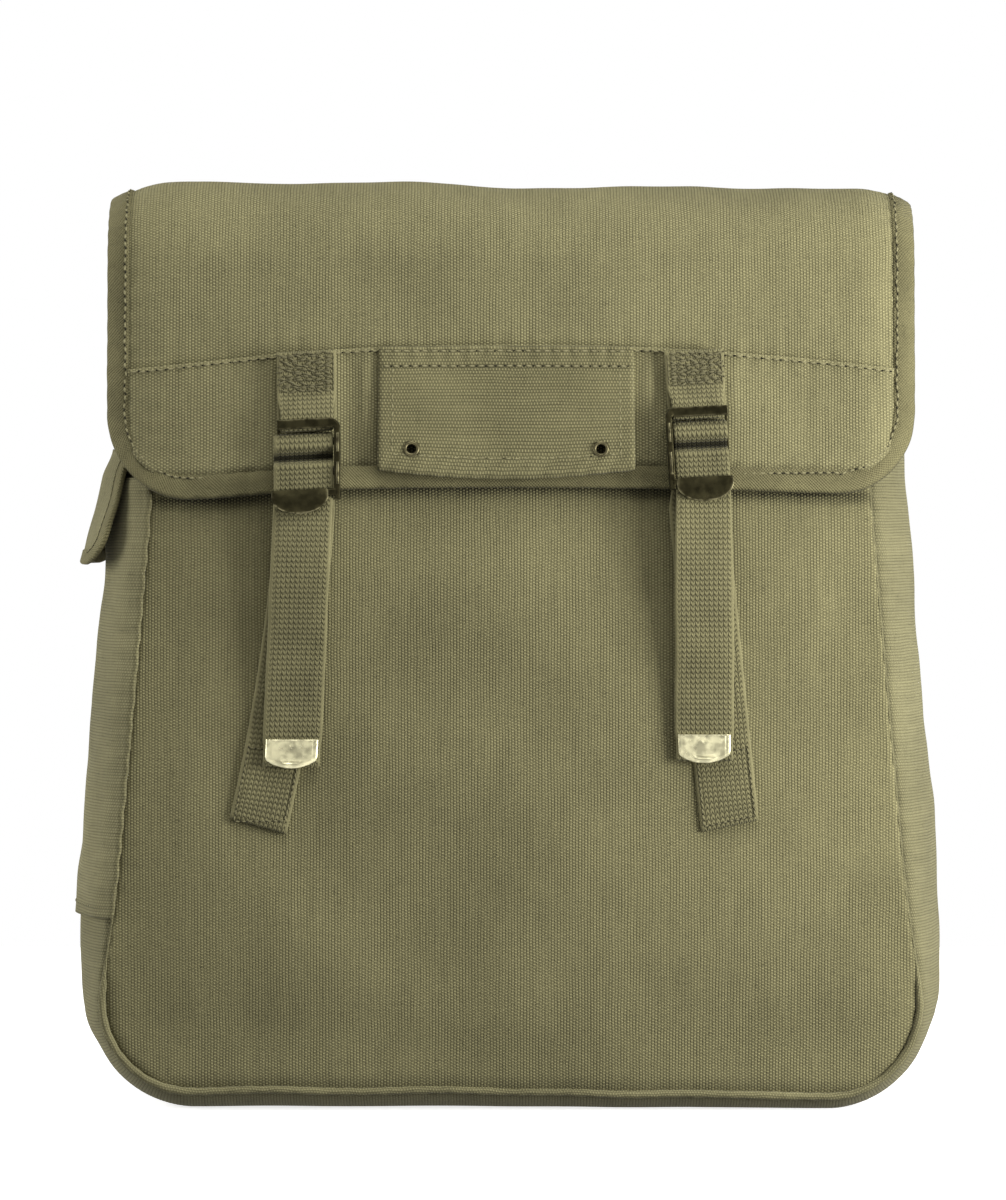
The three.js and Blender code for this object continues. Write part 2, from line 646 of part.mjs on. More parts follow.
// The chape: down from the second layer's upper edge, round the pin and up again behind itself.
function chape(closure) {
  const back = seamGap + chapeWeb / 2;
  const front = back + chapeWeb + seamGap;
  const loopBack = barDepth - chapeWrap;
  const loopFront = barDepth + chapeWrap;
  const full = webWidth / 2;
  const length = flapBottom + reinforcementHeight - chapeInset - closure.top;
  const layer = (from, to) => ({ share, lift }) => [length * share, lerp(from, to, lift), -full, full];
  const turn = steps(6, 0, Math.PI).map((angle) =>
    [pinHeight - chapeWrap * Math.sin(angle), barDepth + chapeWrap * Math.cos(angle), -webEdge, webEdge]);
  return flatWeb(inBuckle(buckleFrame(closure), [
    ...chapeFront.map(layer(front, loopFront)),
    [seamGap, loopFront, -webEdge, webEdge],
    ...turn,
    [seamGap, loopBack, -webEdge, webEdge],
    ...chapeBack.map(layer(back, loopBack)),
  ]), chapeWeb);
}

// Ways in front of the panel: a place at x and z, and how far out from the middle of its cloth.
const onPanel = (x, z, out) => vector(x, frontFace(x, z) - out, z);
const towardFront = vector(0, -1, 0);
const towardBack = vector(0, 1, 0);
const sewnOut = canvas / 2 + seamGap + web / 2;
const behindBuckle = flapStandOff + layerOut + loadDepth;
const riseTop = flapBottom - strapRiseEnd;

// The middle of the strap's sewn length, on a curve through its foot, middle and buckle.
function strapX({ foot, middle, x }, z) {
  const share = (z - strapFoot) / (flapBottom - strapFoot);
  const halfway = (strapMiddle - strapFoot) / (flapBottom - strapFoot);
  const bend = (middle - lerp(foot, x, halfway)) / (halfway * (1 - halfway));
  return lerp(foot, x, share) + bend * share * (1 - share);
}

// The strap's sewn length, from its slanted end on the panel up to the back of the buckle.
function sewnPlaces(closure) {
  const half = webWidth / 2;
  const heights = [...steps(4, strapFoot, strapFree), ...steps(7, strapFree, riseTop).slice(1)];
  return heights.map((z, i) => {
    const middle = strapX(closure, z);
    const out = lerp(sewnOut, behindBuckle, smoothstep(z, strapMiddle, riseTop));
    const slant = i === 0 ? closure.side * footSlant / 2 : 0;
    return {
      left: onPanel(middle - closure.side * half, z - slant * closure.side, out),
      right: onPanel(middle + closure.side * half, z + slant * closure.side, out),
      out: towardBack,
    };
  });
}

// The web in the buckle: up behind both bars, over the first, down across the second.
function buckledPlaces(closure) {
  const outer = webEdge + closure.spill * spillWidth;
  const rise = [secondBar, lerp(secondBar, firstBar, 0.5)].map((h) => [h, loadDepth, -webEdge, webEdge]);
  const turn = steps(8, Math.PI, 0).map((angle) =>
    [firstBar + webWrap * Math.sin(angle), barDepth + webWrap * Math.cos(angle), -webEdge, webEdge]);
  const between = steps(6).slice(1, -1).map((share) => {
    const dip = webDip * Math.sin(Math.PI * share) ** 2;
    return [lerp(firstBar, secondBar, share), frontDepth - dip, -webEdge, outer];
  });
  const fall = [secondBar, thumbTabTop].map((h) => [h, frontDepth, -webEdge, outer]);
  return inBuckle(buckleFrame(closure), [...rise, ...turn, ...between, ...fall]);
}

// The free tail, from the thumb tab down to its end in the metal tip, where it is narrower.
const tipFloor = tipWall + seamGap;
const tailEndOut = sewnOut + web + 2 * seamGap + tipWall;
function tailPlaces({ side, tip, tail }, top) {
  const start = top.left.clone().add(top.right).multiplyScalar(0.5);
  const startOut = frontFace(start.x, start.z) - start.y;
  const startHalf = top.left.distanceTo(top.right) / 2;
  const end = start.z - tail;
  const tipTop = end - tipFloor + tipHeight;
  const narrow = tipWidth / 2 - tipWall - seamGap;
  const place = (z, half) => {
    const share = (start.z - z) / tail;
    const out = lerp(startOut, tailEndOut, smoothstep(share, 0, tailFall));
    const point = onPanel(lerp(start.x, tip, share), z, out);
    const reach = vector(side * half, 0, 0);
    return { left: point.clone().sub(reach), right: point.clone().add(reach), out: towardFront };
  };
  const free = steps(8, start.z, tipTop + tipEase).slice(1)
    .map((z, i) => place(z, lerp(startHalf, webWidth / 2, clamp((i + 1) / 3, 0, 1))));
  return [...free, place(tipTop + seamGap, narrow), place(end, narrow)];
}

function strap(closure) {
  const buckled = buckledPlaces(closure);
  return flatWeb([...sewnPlaces(closure), ...buckled, ...tailPlaces(closure, buckled.at(-1))], web);
}

// The metal end: a sheet folded round the web, with rounded lower corners.
function strapTip(closure) {
  const [above, end] = tailPlaces(closure, buckledPlaces(closure).at(-1)).slice(-2)
    .map(({ left, right }) => left.clone().add(right).multiplyScalar(0.5));
  const up = above.clone().sub(end).normalize();
  const right = vector(1, 0, 0);
  const out = right.clone().cross(up).normalize();
  const half = tipWidth / 2;
  const round = tipHeight / 3;
  const outline = new THREE.Shape();
  outline.moveTo(-half, tipHeight);
  outline.lineTo(-half, round);
  outline.absellipse(-half + round, round, round, round, Math.PI, 1.5 * Math.PI, false);
  outline.absellipse(half - round, round, round, round, 1.5 * Math.PI, 2 * Math.PI, false);
  outline.lineTo(half, tipHeight);
  const thick = web / 2 + seamGap + tipWall;
  const sheet = { depth: 2 * thick, bevelEnabled: false, curveSegments: 4 };
  const body = new THREE.ExtrudeGeometry(outline, sheet);
  body.translate(0, 0, -thick);
  const slot = web / 2 + seamGap;
  const hollow = block([tipWall - half, tipWall, -slot], [half - tipWall, tipHeight + tipWall, slot]);
  return mapped(cut(manifold(closed(body)), hollow), ({ x, y, z }) => end.clone()
    .addScaledVector(right, x).addScaledVector(up, y - tipFloor).addScaledVector(out, z));
}

// A point on the left gusset at a height and a distance from its middle, moved out from its cloth.
function onGusset(across, z, out) {
  const place = { x: -halfWidthAt(z), z, outX: -1, outZ: 0, under: 0 };
  const t = 0.5 + across / (2 * (halfDepthAt(z) - seamInset));
  const nearby = 0.01;
  const point = gussetPoint(place, t);
  const along = gussetPoint(place, t + nearby).sub(point);
  return point.add(vector(-along.y, along.x, 0).setLength(out));
}

// The patch pocket lies on the gusset. Its flap is sewn above it and stands off lower down.
const pocketOut = canvas + seamGap + pocketStandOff;
const pocketShares = [-1, -0.62, 0, 0.62, 1];
const pocket = cloth(steps(6, pocketBottom, pocketTop).map((z) =>
  pocketShares.map((share) => onGusset(share * pocketDepth / 2, z, pocketOut))));

const pocketFlapSeat = (canvas + pocketBindingThickness) / 2 + seamGap;
const pocketFlapOver = pocketOut + pocketFlapSeat;
function pocketFlapPoint(across, s) {
  const over = smoothstep(s, 0, pocketFlapTop - pocketTop);
  const lift = pocketFlapLift * clamp(s / pocketFlapHeight, 0, 1.1) ** 1.5;
  return onGusset(across, pocketFlapTop - s, lerp(pocketFlapSeat, pocketFlapOver, over) + lift);
}
const pocketInset = pocketBindingWidth + seamGap;
const pocketFlapReach = {
  half: pocketDepth / 2 - pocketInset,
  length: pocketFlapHeight - pocketInset,
  radius: pocketFlapRadius - pocketInset,
};
const pocketFlap = tongue(pocketFlapPoint, {
  ...pocketFlapReach,
  rows: steps(4, 0, pocketFlapReach.length - pocketFlapReach.radius),
  columns: steps(6, -1, 1),
});
const pocketBinding = binding(pocketFlapPoint, {
  half: pocketDepth / 2,
  length: pocketFlapHeight,
  radius: pocketFlapRadius,
  rows: steps(4, 0, pocketFlapHeight - pocketFlapRadius),
  width: pocketBindingWidth,
  thickness: pocketBindingThickness,
  across: 6,
});

const group = new THREE.Group();
function add(name, geometry, finish) {
  const mesh = new THREE.Mesh(geometry, new THREE.MeshStandardMaterial(finishes[finish]));
  mesh.name = name;
  group.add(mesh);
}

add('front_panel', panel(frontFace), 'canvas');
add('back_panel', panel(backFace), 'canvas');
add('gusset', gusset, 'gusset');
add('front_seam_welt', seamWelt(-1), 'gusset');
add('back_seam_welt', seamWelt(1), 'gusset');
add('flap', flap, 'canvas');
add('flap_binding', flapBinding, 'tape');
add('flap_reinforcement', reinforcement, 'canvas');
add('name_tab', nameTab, 'canvas');
add('eyelet_left', eyelet(-1), 'bronze');
add('eyelet_right', eyelet(1), 'bronze');
closures.forEach((closure) => {
  add(`chape_${closure.name}`, chape(closure), 'web');
  add(`buckle_${closure.name}`, buckle(closure), 'blackMetal');
  add(`strap_${closure.name}`, strap(closure), 'web');
  add(`strap_tip_${closure.name}`, strapTip(closure), 'paleMetal');
});

add('side_pocket', pocket, 'gusset');
add('side_pocket_flap', pocketFlap, 'gusset');
add('side_pocket_binding', pocketBinding, 'tape');

// The origin is the middle of the bag's own box, on the floor.
const middle = new THREE.Box3().setFromObject(group).getCenter(vector());
group.children.forEach((mesh) => mesh.geometry.translate(-middle.x, -middle.y, 0));

export default group;
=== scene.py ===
import math
import random

import bmesh
import bpy
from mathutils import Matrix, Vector, noise

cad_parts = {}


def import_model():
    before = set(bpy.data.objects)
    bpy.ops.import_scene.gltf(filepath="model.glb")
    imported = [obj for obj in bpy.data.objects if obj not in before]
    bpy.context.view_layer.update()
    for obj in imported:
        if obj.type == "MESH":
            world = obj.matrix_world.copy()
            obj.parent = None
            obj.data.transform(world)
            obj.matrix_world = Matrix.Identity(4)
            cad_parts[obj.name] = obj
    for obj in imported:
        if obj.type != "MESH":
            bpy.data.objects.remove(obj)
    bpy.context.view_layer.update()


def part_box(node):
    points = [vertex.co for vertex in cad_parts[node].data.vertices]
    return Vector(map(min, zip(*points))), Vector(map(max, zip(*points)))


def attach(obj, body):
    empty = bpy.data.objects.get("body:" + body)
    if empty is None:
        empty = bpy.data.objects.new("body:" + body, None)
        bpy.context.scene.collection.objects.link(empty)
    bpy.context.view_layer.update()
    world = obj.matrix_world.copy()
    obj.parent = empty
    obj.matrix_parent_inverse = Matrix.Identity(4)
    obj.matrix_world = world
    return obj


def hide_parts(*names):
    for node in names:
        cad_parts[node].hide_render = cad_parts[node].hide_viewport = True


# A canvas haversack that stands closed and filled out. Shapes are worked out in millimetres, from
# the same named sizes as the CAD, and mm turns them into metres.
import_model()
mm = 0.001
print("stage: frame loaded")

# The seams' boxes give the middle of the bag itself, which the CAD moved to centre the whole.
frontLow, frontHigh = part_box("front_seam_welt")
_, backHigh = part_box("back_seam_welt")
bagMiddle = Vector(((frontLow[0] + frontHigh[0]) / 2, (frontLow[1] + backHigh[1]) / 2, 0))


def world(point):
    return bagMiddle + Vector(point) * mm


def lerp(a, b, t):
    return a + (b - a) * t


def clamp(value, low=0.0, high=1.0):
    return max(low, min(high, value))


def smoothstep(value, low, high):
    t = clamp((value - low) / (high - low))
    return t * t * (3 - 2 * t)


def bell(value, middle, width):
    return math.exp(-(((value - middle) / width) ** 2))


def steps(count, low=0.0, high=1.0):
    return [lerp(low, high, i / count) for i in range(count + 1)]


def slack(x, y, size, seed, height):
    return height * noise.noise(Vector((x / size, y / size, seed)))


# Small gathers beside a seam: distance from it, and the place along it.
def pucker(distance, along, reach, wave, height):
    phase = 2 * math.pi * along / wave + 3 * noise.noise(Vector((along / 30, 0, wave)))
    return height * math.exp(-((distance / reach) ** 2)) * math.sin(phase)


# Camera and light

view = {
    "aim": (-3.3, -65, 212),
    "distance": 2200,
    "elevation": 1.2,
    "frameHeight": 492,
}


def makeCamera():
    data = bpy.data.cameras.new("camera")
    data.sensor_fit = "VERTICAL"
    data.angle = 2 * math.atan(view["frameHeight"] / 2 / view["distance"])
    camera = bpy.data.objects.new("camera", data)
    rise = math.radians(view["elevation"])
    away = Vector((0, -math.cos(rise), math.sin(rise)))
    aim = world(view["aim"])
    camera.location = aim + away * view["distance"] * mm
    camera.rotation_euler = (-away).to_track_quat("-Z", "Y").to_euler()
    bpy.context.collection.objects.link(camera)
    bpy.context.scene.camera = camera


lights = [
    {"name": "key", "at": (720, -430, 225), "size": 0.4, "power": 9.7},
    {"name": "top", "at": (120, -560, 1350), "size": 0.8, "power": 12},
    {"name": "fill", "at": (-1150, 40, 330), "size": 0.6, "power": 9.5},
]
backdrop = {
    "seen": 1.0,
    "ambient": 0.25,
    "floorSize": 1.5,
    "floorColour": (0.9, 0.9, 0.9, 1),
    "floorRoughness": 0.9,
    "glow": 0.72,
}


def makeLights():
    aim = world((0, 0, 200))
    for light in lights:
        data = bpy.data.lights.new(light["name"], "AREA")
        data.energy = light["power"]
        data.size = light["size"]
        lamp = bpy.data.objects.new(light["name"], data)
        lamp.location = world(light["at"])
        lamp.rotation_euler = (aim - lamp.location).to_track_quat("-Z", "Y").to_euler()
        bpy.context.collection.objects.link(lamp)
    sky = bpy.data.worlds.new("sky")
    sky.use_nodes = True
    tree = sky.node_tree
    background = tree.nodes["Background"]
    background.inputs["Color"].default_value = (1, 1, 1, 1)
    path = tree.nodes.new("ShaderNodeLightPath")
    seen = tree.nodes.new("ShaderNodeMath")
    seen.operation = "MAXIMUM"
    tree.links.new(path.outputs["Is Camera Ray"], seen.inputs[0])
    tree.links.new(path.outputs["Is Glossy Ray"], seen.inputs[1])
    strength = tree.nodes.new("ShaderNodeMapRange")
    tree.links.new(seen.outputs[0], strength.inputs["Value"])
    strength.inputs["To Min"].default_value = backdrop["ambient"]
    strength.inputs["To Max"].default_value = backdrop["seen"]
    tree.links.new(strength.outputs["Result"], background.inputs["Strength"])
    bpy.context.scene.world = sky
    bpy.context.scene.view_settings.view_transform = "Standard"


def makeFloor():
    bm = bmesh.new()
    bmesh.ops.create_grid(bm, x_segments=1, y_segments=1, size=backdrop["floorSize"] / 2)
    mesh = bpy.data.meshes.new("floor")
    bm.to_mesh(mesh)
    bm.free()
    floor = bpy.data.objects.new("floor", mesh)
    bpy.context.collection.objects.link(floor)
    material = bpy.data.materials.new("floor")
    material.use_nodes = True
    shader = material.node_tree.nodes["Principled BSDF"]
    shader.inputs["Base Color"].default_value = backdrop["floorColour"]
    shader.inputs["Roughness"].default_value = backdrop["floorRoughness"]
    shader.inputs["Emission Color"].default_value = (1, 1, 1, 1)
    shader.inputs["Emission Strength"].default_value = backdrop["glow"]
    mesh.materials.append(material)
    floor.visible_diffuse = False


makeCamera()
makeLights()
makeFloor()
print("stage: camera and light")


# Node helpers

def link(tree, value, socket):
    if isinstance(value, bpy.types.NodeSocket):
        tree.links.new(value, socket)
    else:
        socket.default_value = value


def maths(tree, operation, *values):
    node = tree.nodes.new("ShaderNodeMath")
    node.operation = operation
    for value, socket in zip(values, node.inputs):
        link(tree, value, socket)
    return node.outputs[0]


def remap(tree, value, low, high, newLow=0.0, newHigh=1.0):
    node = tree.nodes.new("ShaderNodeMapRange")
    node.interpolation_type = "SMOOTHSTEP"
    for entry, socket in zip((value, low, high, newLow, newHigh), node.inputs):
        link(tree, entry, socket)
    return node.outputs[0]


def cloud(tree, place, stretch, detail=2.0):
    scaled = tree.nodes.new("ShaderNodeVectorMath")
    scaled.operation = "MULTIPLY"
    link(tree, place, scaled.inputs[0])
    scaled.inputs[1].default_value = stretch
    node = tree.nodes.new("ShaderNodeTexNoise")
    node.inputs["Scale"].default_value = 1
    node.inputs["Detail"].default_value = detail
    link(tree, scaled.outputs[0], node.inputs["Vector"])
    return node.outputs["Fac"]


# A weighted sum of values about one: (value, weight) pairs.
def weighted(tree, start, pairs):
    total = start
    for value, weight in pairs:
        total = maths(tree, "MULTIPLY_ADD", value, weight, total)
    return total


def scaledColour(tree, colour, amount):
    node = tree.nodes.new("ShaderNodeVectorMath")
    node.operation = "SCALE"
    link(tree, colour, node.inputs[0])
    link(tree, amount, node.inputs["Scale"])
    return node.outputs[0]


def newGroup(name, inputs, outputs):
    group = bpy.data.node_groups.new(name, "ShaderNodeTree")
    for label, kind in inputs:
        group.interface.new_socket(label, in_out="INPUT", socket_type=kind)
    for label, kind in outputs:
        group.interface.new_socket(label, in_out="OUTPUT", socket_type=kind)
    return group, group.nodes.new("NodeGroupInput").outputs, group.nodes.new("NodeGroupOutput").inputs


clothInputs = [
    ("Place", "NodeSocketVector"),
    ("Tone", "NodeSocketFloat"),
    ("Base", "NodeSocketColor"),
]
clothOutputs = [("Color", "NodeSocketColor"), ("Height", "NodeSocketFloat")]


# What the cloths share: uneven yarns, broad mottling, slubs, dark specks, and the vertex tone, which holds
# worn edges together with painted light and shade.
def tinted(group, given, pairs, yarns):
    place = given["Place"]
    slub = remap(group, cloud(group, place, (650, 210, 1), 0), 0.68, 0.78)
    speck = remap(group, cloud(group, place, (420, 900, 1), 0), 0.76, 0.84)
    broad = cloud(group, place, (14, 11, 1), 3)
    patch = cloud(group, place, (75, 60, 1), 2)
    half = [(cloud(group, place, stretch, 1), weight) for stretch, weight in yarns]
    centred = [(maths(group, "SUBTRACT", value, 0.5), weight) for value, weight in half]
    mottled = [
        (maths(group, "SUBTRACT", broad, 0.5), 0.3),
        (maths(group, "SUBTRACT", patch, 0.5), 0.24),
        (slub, -0.12),
        (speck, -0.22),
        (given["Tone"], 1.0),
    ]
    bright = maths(group, "MAXIMUM", weighted(group, 1.0, pairs + centred + mottled), 0.1)
    return scaledColour(group, given["Base"], bright), centred


def wavered(group, place, amount):
    parts = group.nodes.new("ShaderNodeSeparateXYZ")
    link(group, place, parts.inputs[0])
    drift = maths(group, "SUBTRACT", cloud(group, place, (45, 38, 1), 2), 0.5)
    across = maths(group, "MULTIPLY_ADD", drift, amount, parts.outputs[0])
    along = maths(group, "MULTIPLY_ADD", drift, amount, parts.outputs[1])
    return across, along


def wave(group, value, period):
    return maths(group, "SINE", maths(group, "MULTIPLY", value, 2 * math.pi / period))


# Plain weave: crowns of warp and weft in a chequer, the warp's crowns lighter.
def canvasGroup(name, warpPitch, weftPitch, dotWeight, gapWeight):
    group, given, result = newGroup(name, clothInputs, clothOutputs)
    across, along = wavered(group, given["Place"], 0.0012)
    crown = maths(group, "MULTIPLY", wave(group, across, warpPitch), wave(group, along, weftPitch))
    dots = remap(group, crown, -0.1, 0.9)
    rows = maths(group, "ABSOLUTE", wave(group, across, warpPitch))
    gaps = remap(group, rows, 0.0, 0.75, 1.0, 0.0)
    yarns = [((1 / warpPitch * 2.1, 30, 1), 0.36), ((120, 1 / weftPitch * 1.2, 1), 0.26)]
    colour, centred = tinted(group, given, [(dots, dotWeight), (gaps, gapWeight)], yarns)
    link(group, colour, result["Color"])
    link(group, weighted(group, dots, [(centred[0][0], 0.4), (gaps, -0.4)]), result["Height"])
    return group


# Pitches of the web and the tape, in metres.
webYarns = {"column": 0.00192, "row": 0.00212, "slant": 0.9, "selvage": 0.0104, "edge": 0.0112}
tapeYarns = {"rib": 0.0026, "thread": 0.0013}


# Narrow web: columns of small chevrons between plain selvages.
def webGroup():
    group, given, result = newGroup("webWeave", clothInputs, clothOutputs)
    across, along = wavered(group, given["Place"], 0.0006)
    column = maths(group, "MULTIPLY", across, 1 / webYarns["column"])
    tilt = maths(group, "ABSOLUTE", maths(group, "SUBTRACT", maths(group, "FRACT", column), 0.5))
    level = maths(group, "MULTIPLY", along, 1 / webYarns["row"])
    row = maths(group, "MULTIPLY_ADD", tilt, webYarns["slant"], level)
    ridge = maths(group, "ABSOLUTE", maths(group, "SINE", maths(group, "MULTIPLY", row, math.pi)))
    groove = remap(group, tilt, 0.3, 0.5, 1.0, 0.25)
    woven = maths(group, "MULTIPLY", ridge, groove)
    selvage = remap(group, maths(group, "ABSOLUTE", across), webYarns["selvage"], webYarns["edge"])
    height = maths(group, "MAXIMUM", woven, maths(group, "MULTIPLY", selvage, 0.8))
    gaps = maths(group, "SUBTRACT", 1.0, height)
    yarns = [((900, 60, 1), 0.3), ((40, 800, 1), 0.2)]
    colour, _ = tinted(group, given, [(gaps, -0.44), (height, 0.14)], yarns)
    link(group, colour, result["Color"])
    link(group, height, result["Height"])
    return group


# Bias tape: fine twill at a slant.
def tapeGroup():
    group, given, result = newGroup("tapeTwill", clothInputs, clothOutputs)
    across, along = wavered(group, given["Place"], 0.0008)
    slant = maths(group, "ADD", across, along)
    cross = maths(group, "SUBTRACT", along, across)
    rib = maths(group, "ABSOLUTE", wave(group, slant, tapeYarns["rib"]))
    thread = maths(group, "MULTIPLY_ADD", wave(group, cross, tapeYarns["thread"]), 0.3, rib)
    gaps = maths(group, "SUBTRACT", 1.0, rib)
    yarns = [((500, 500, 1), 0.2), ((60, 60, 1), 0.2)]
    colour, _ = tinted(group, given, [(gaps, -0.25)], yarns)
    link(group, colour, result["Color"])
    link(group, thread, result["Height"])
    return group


def attribute(tree, name):
    node = tree.nodes.new("ShaderNodeAttribute")
    node.attribute_name = name
    return node.outputs["Fac"]


# The surface of every cloth and of every metal.
clothFinish = {"roughness": 0.95, "sheen": 0.05, "specular": 0.12, "bump": 0.8}
metalFinish = {"metallic": 1, "bump": 0.5}


# A material round one of the groups, which gives its colour and the height of its bump.
def newMaterial(name, group, place, base, bumpStrength, bumpDepth):
    material = bpy.data.materials.new(name)
    material.use_nodes = True
    tree = material.node_tree
    shader = tree.nodes["Principled BSDF"]
    finish = tree.nodes.new("ShaderNodeGroup")
    finish.node_tree = group
    kind, output = place
    link(tree, tree.nodes.new(kind).outputs[output], finish.inputs["Place"])
    link(tree, attribute(tree, "tone"), finish.inputs["Tone"])
    finish.inputs["Base"].default_value = (*base, 1)
    bump = tree.nodes.new("ShaderNodeBump")
    bump.inputs["Strength"].default_value = bumpStrength
    bump.inputs["Distance"].default_value = bumpDepth * mm
    link(tree, finish.outputs["Height"], bump.inputs["Height"])
    link(tree, bump.outputs["Normal"], shader.inputs["Normal"])
    link(tree, finish.outputs["Color"], shader.inputs["Base Color"])
    return material, shader, finish


def clothMaterial(name, group, base, bumpDepth):
    place = ("ShaderNodeUVMap", "UV")
    material, shader, _ = newMaterial(name, group, place, base, clothFinish["bump"], bumpDepth)
    shader.inputs["Roughness"].default_value = clothFinish["roughness"]
    shader.inputs["Sheen Weight"].default_value = clothFinish["sheen"]
    shader.inputs["Specular IOR Level"].default_value = clothFinish["specular"]
    return material


# Metal: small dents and scuffs, bare or brighter where tone is high; on the strap tips the tone also holds
# painted light and shade.
def metalGroup():
    inputs = clothInputs + [("Worn", "NodeSocketColor")]
    outputs = clothOutputs + [("Roughness", "NodeSocketFloat")]
    group, given, result = newGroup("wornMetal", inputs, outputs)
    place = given["Place"]
    scuff = cloud(group, place, (420, 300, 380), 4)
    stain = cloud(group, place, (210, 210, 230), 3)
    worn = maths(group, "MULTIPLY", given["Tone"], remap(group, scuff, 0.35, 0.6))
    mix = group.nodes.new("ShaderNodeMix")
    mix.data_type = "RGBA"
    link(group, worn, mix.inputs["Factor"])
    link(group, given["Base"], mix.inputs[6])
    link(group, given["Worn"], mix.inputs[7])
    stained = scaledColour(group, mix.outputs[2], remap(group, stain, 0.36, 0.62, 0.62, 1.12))
    link(group, stained, result["Color"])
    link(group, maths(group, "ADD", scuff, stain), result["Height"])
    link(group, remap(group, scuff, 0.3, 0.7, 0.26, 0.46), result["Roughness"])
    return group


def metalMaterial(name, group, base, worn, bumpDepth):
    place = ("ShaderNodeTexCoord", "Object")
    material, shader, finish = newMaterial(name, group, place, base, metalFinish["bump"], bumpDepth)
    shader.inputs["Metallic"].default_value = metalFinish["metallic"]
    finish.inputs["Worn"].default_value = (*worn, 1)
    link(material.node_tree, finish.outputs["Roughness"], shader.inputs["Roughness"])
    return material


panelWeave = canvasGroup("panelWeave", 0.00251, 0.00124, 0.84, -0.3)
gussetWeave = canvasGroup("gussetWeave", 0.00240, 0.00118, 0.34, -0.34)
metalWear = metalGroup()
materials = {
    "panel": clothMaterial("panelCanvas", panelWeave, (0.170, 0.155, 0.077), 0.28),
    "flap": clothMaterial("flapCanvas", panelWeave, (0.189, 0.173, 0.087), 0.28),
    "gusset": clothMaterial("gussetCanvas", gussetWeave, (0.182, 0.167, 0.086), 0.2),
    "tab": clothMaterial("tabCanvas", panelWeave, (0.150, 0.137, 0.068), 0.28),
    "tape": clothMaterial("biasTape", tapeGroup(), (0.168, 0.152, 0.074), 0.26),
    "web": clothMaterial("cottonWeb", webGroup(), (0.186, 0.170, 0.085), 0.5),
    "thread": clothMaterial("thread", gussetWeave, (0.235, 0.215, 0.115), 0.1),
    "black": metalMaterial("blackMetal", metalWear, (0.026, 0.023, 0.011), (0.20, 0.18, 0.10), 0.03),
    "bronze": metalMaterial("darkBronze", metalWear, (0.075, 0.066, 0.034), (0.30, 0.26, 0.15), 0.03),
    "pale": metalMaterial("paleMetal", metalWear, (0.47, 0.44, 0.28), (0.72, 0.69, 0.48), 0.14),
}
print("stage: materials")


# Mesh helpers

# Adds a grid whose places come from a function of two shares. It gives a point in millimetres, the
# place in the weave in millimetres, and how much lighter or darker the cloth is there.
def addGrid(bm, across, along, place):
    uvLayer = bm.loops.layers.uv.verify()
    toneLayer = bm.verts.layers.float.get("tone") or bm.verts.layers.float.new("tone")
    made = bmesh.ops.create_grid(bm, x_segments=across, y_segments=along, size=0.5)["verts"]
    spots = {vert: place(vert.co.x + 0.5, vert.co.y + 0.5) for vert in made}
    for face in {face for vert in made for face in vert.link_faces}:
        face.smooth = True
        for loop in face.loops:
            loop[uvLayer].uv = Vector(spots[loop.vert][1]) * mm
    for vert, (point, _, tone) in spots.items():
        vert.co = world(point)
        vert[toneLayer] = tone
    return made


# Adds a closed form through rings of (point, across) pairs, with both ends capped.
def addLoft(bm, rings, tone=0.0):
    count = len(rings[0])
    middles = [sum((point for point, _ in ring), Vector()) / count for ring in rings]
    lengths = [0.0]
    for a, b in zip(middles, middles[1:]):
        lengths.append(lengths[-1] + (b - a).length)

    def place(s, t):
        r = round(s * (len(rings) - 1))
        i = round(t * count)
        point, across = rings[r][i % count]
        shade = tone(across, lengths[r]) if callable(tone) else tone
        return point, (across, lengths[r]), shade

    made = addGrid(bm, len(rings) - 1, count, place)
    bmesh.ops.remove_doubles(bm, verts=made, dist=1e-6)
    made = [vert for vert in made if vert.is_valid]
    edges = {edge for vert in made for edge in vert.link_edges if edge.is_boundary}
    bmesh.ops.holes_fill(bm, edges=list(edges), sides=0)


# A flat section with rounded edges: (point, across) pairs round it.
def flatRing(centre, right, out, half, thick, rounding=1.0, count=6):
    radius = min(thick / 2, half) * rounding
    pairs = []
    for side, low, high in ((1, -1, 1), (-1, 1, -1)):
        pairs += [(a * (half - radius), side * thick / 2) for a in steps(count, low, high)]
        start = math.pi / 2 if side == 1 else -math.pi / 2
        for turn in steps(4, start, start - math.pi)[1:-1]:
            lift = (thick / 2 - radius) * math.copysign(1, math.sin(turn)) * (abs(math.sin(turn)) > 0.01)
            pairs.append((high * (half - radius) + radius * math.cos(turn), lift + radius * math.sin(turn)))
    return [(centre + right * across + out * lift, across) for across, lift in pairs]


# A strip through (centre, right, out, half, thick) sections.
def addStrip(bm, sections, rounding=1.0, count=6, tone=0.0):
    addLoft(bm, [flatRing(*section, rounding, count) for section in sections], tone)


def makePiece(bm, name, material, nodes=(), wall=0.0, sharp=None):
    if wall == 0:
        bmesh.ops.recalc_face_normals(bm, faces=bm.faces[:])
    mesh = bpy.data.meshes.new(name)
    bm.to_mesh(mesh)
    bm.free()
    if sharp is not None:
        mesh.set_sharp_from_angle(angle=math.radians(sharp))
    made = bpy.data.objects.new(name, mesh)
    bpy.context.collection.objects.link(made)
    mesh.materials.append(materials[material])
    if wall > 0:
        solid = made.modifiers.new("wall", "SOLIDIFY")
        solid.thickness = wall * mm
        solid.offset = 0
    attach(made, "root")
    if nodes:
        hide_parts(*nodes)
    return made


# A stitch as shares of its pitch and its thread's radius, with the jitter and the needle hole's half
# length in millimetres.
stitch = {"length": 0.74, "lift": 0.5, "holeRadius": 0.9, "jitter": 0.14, "hole": 0.55}
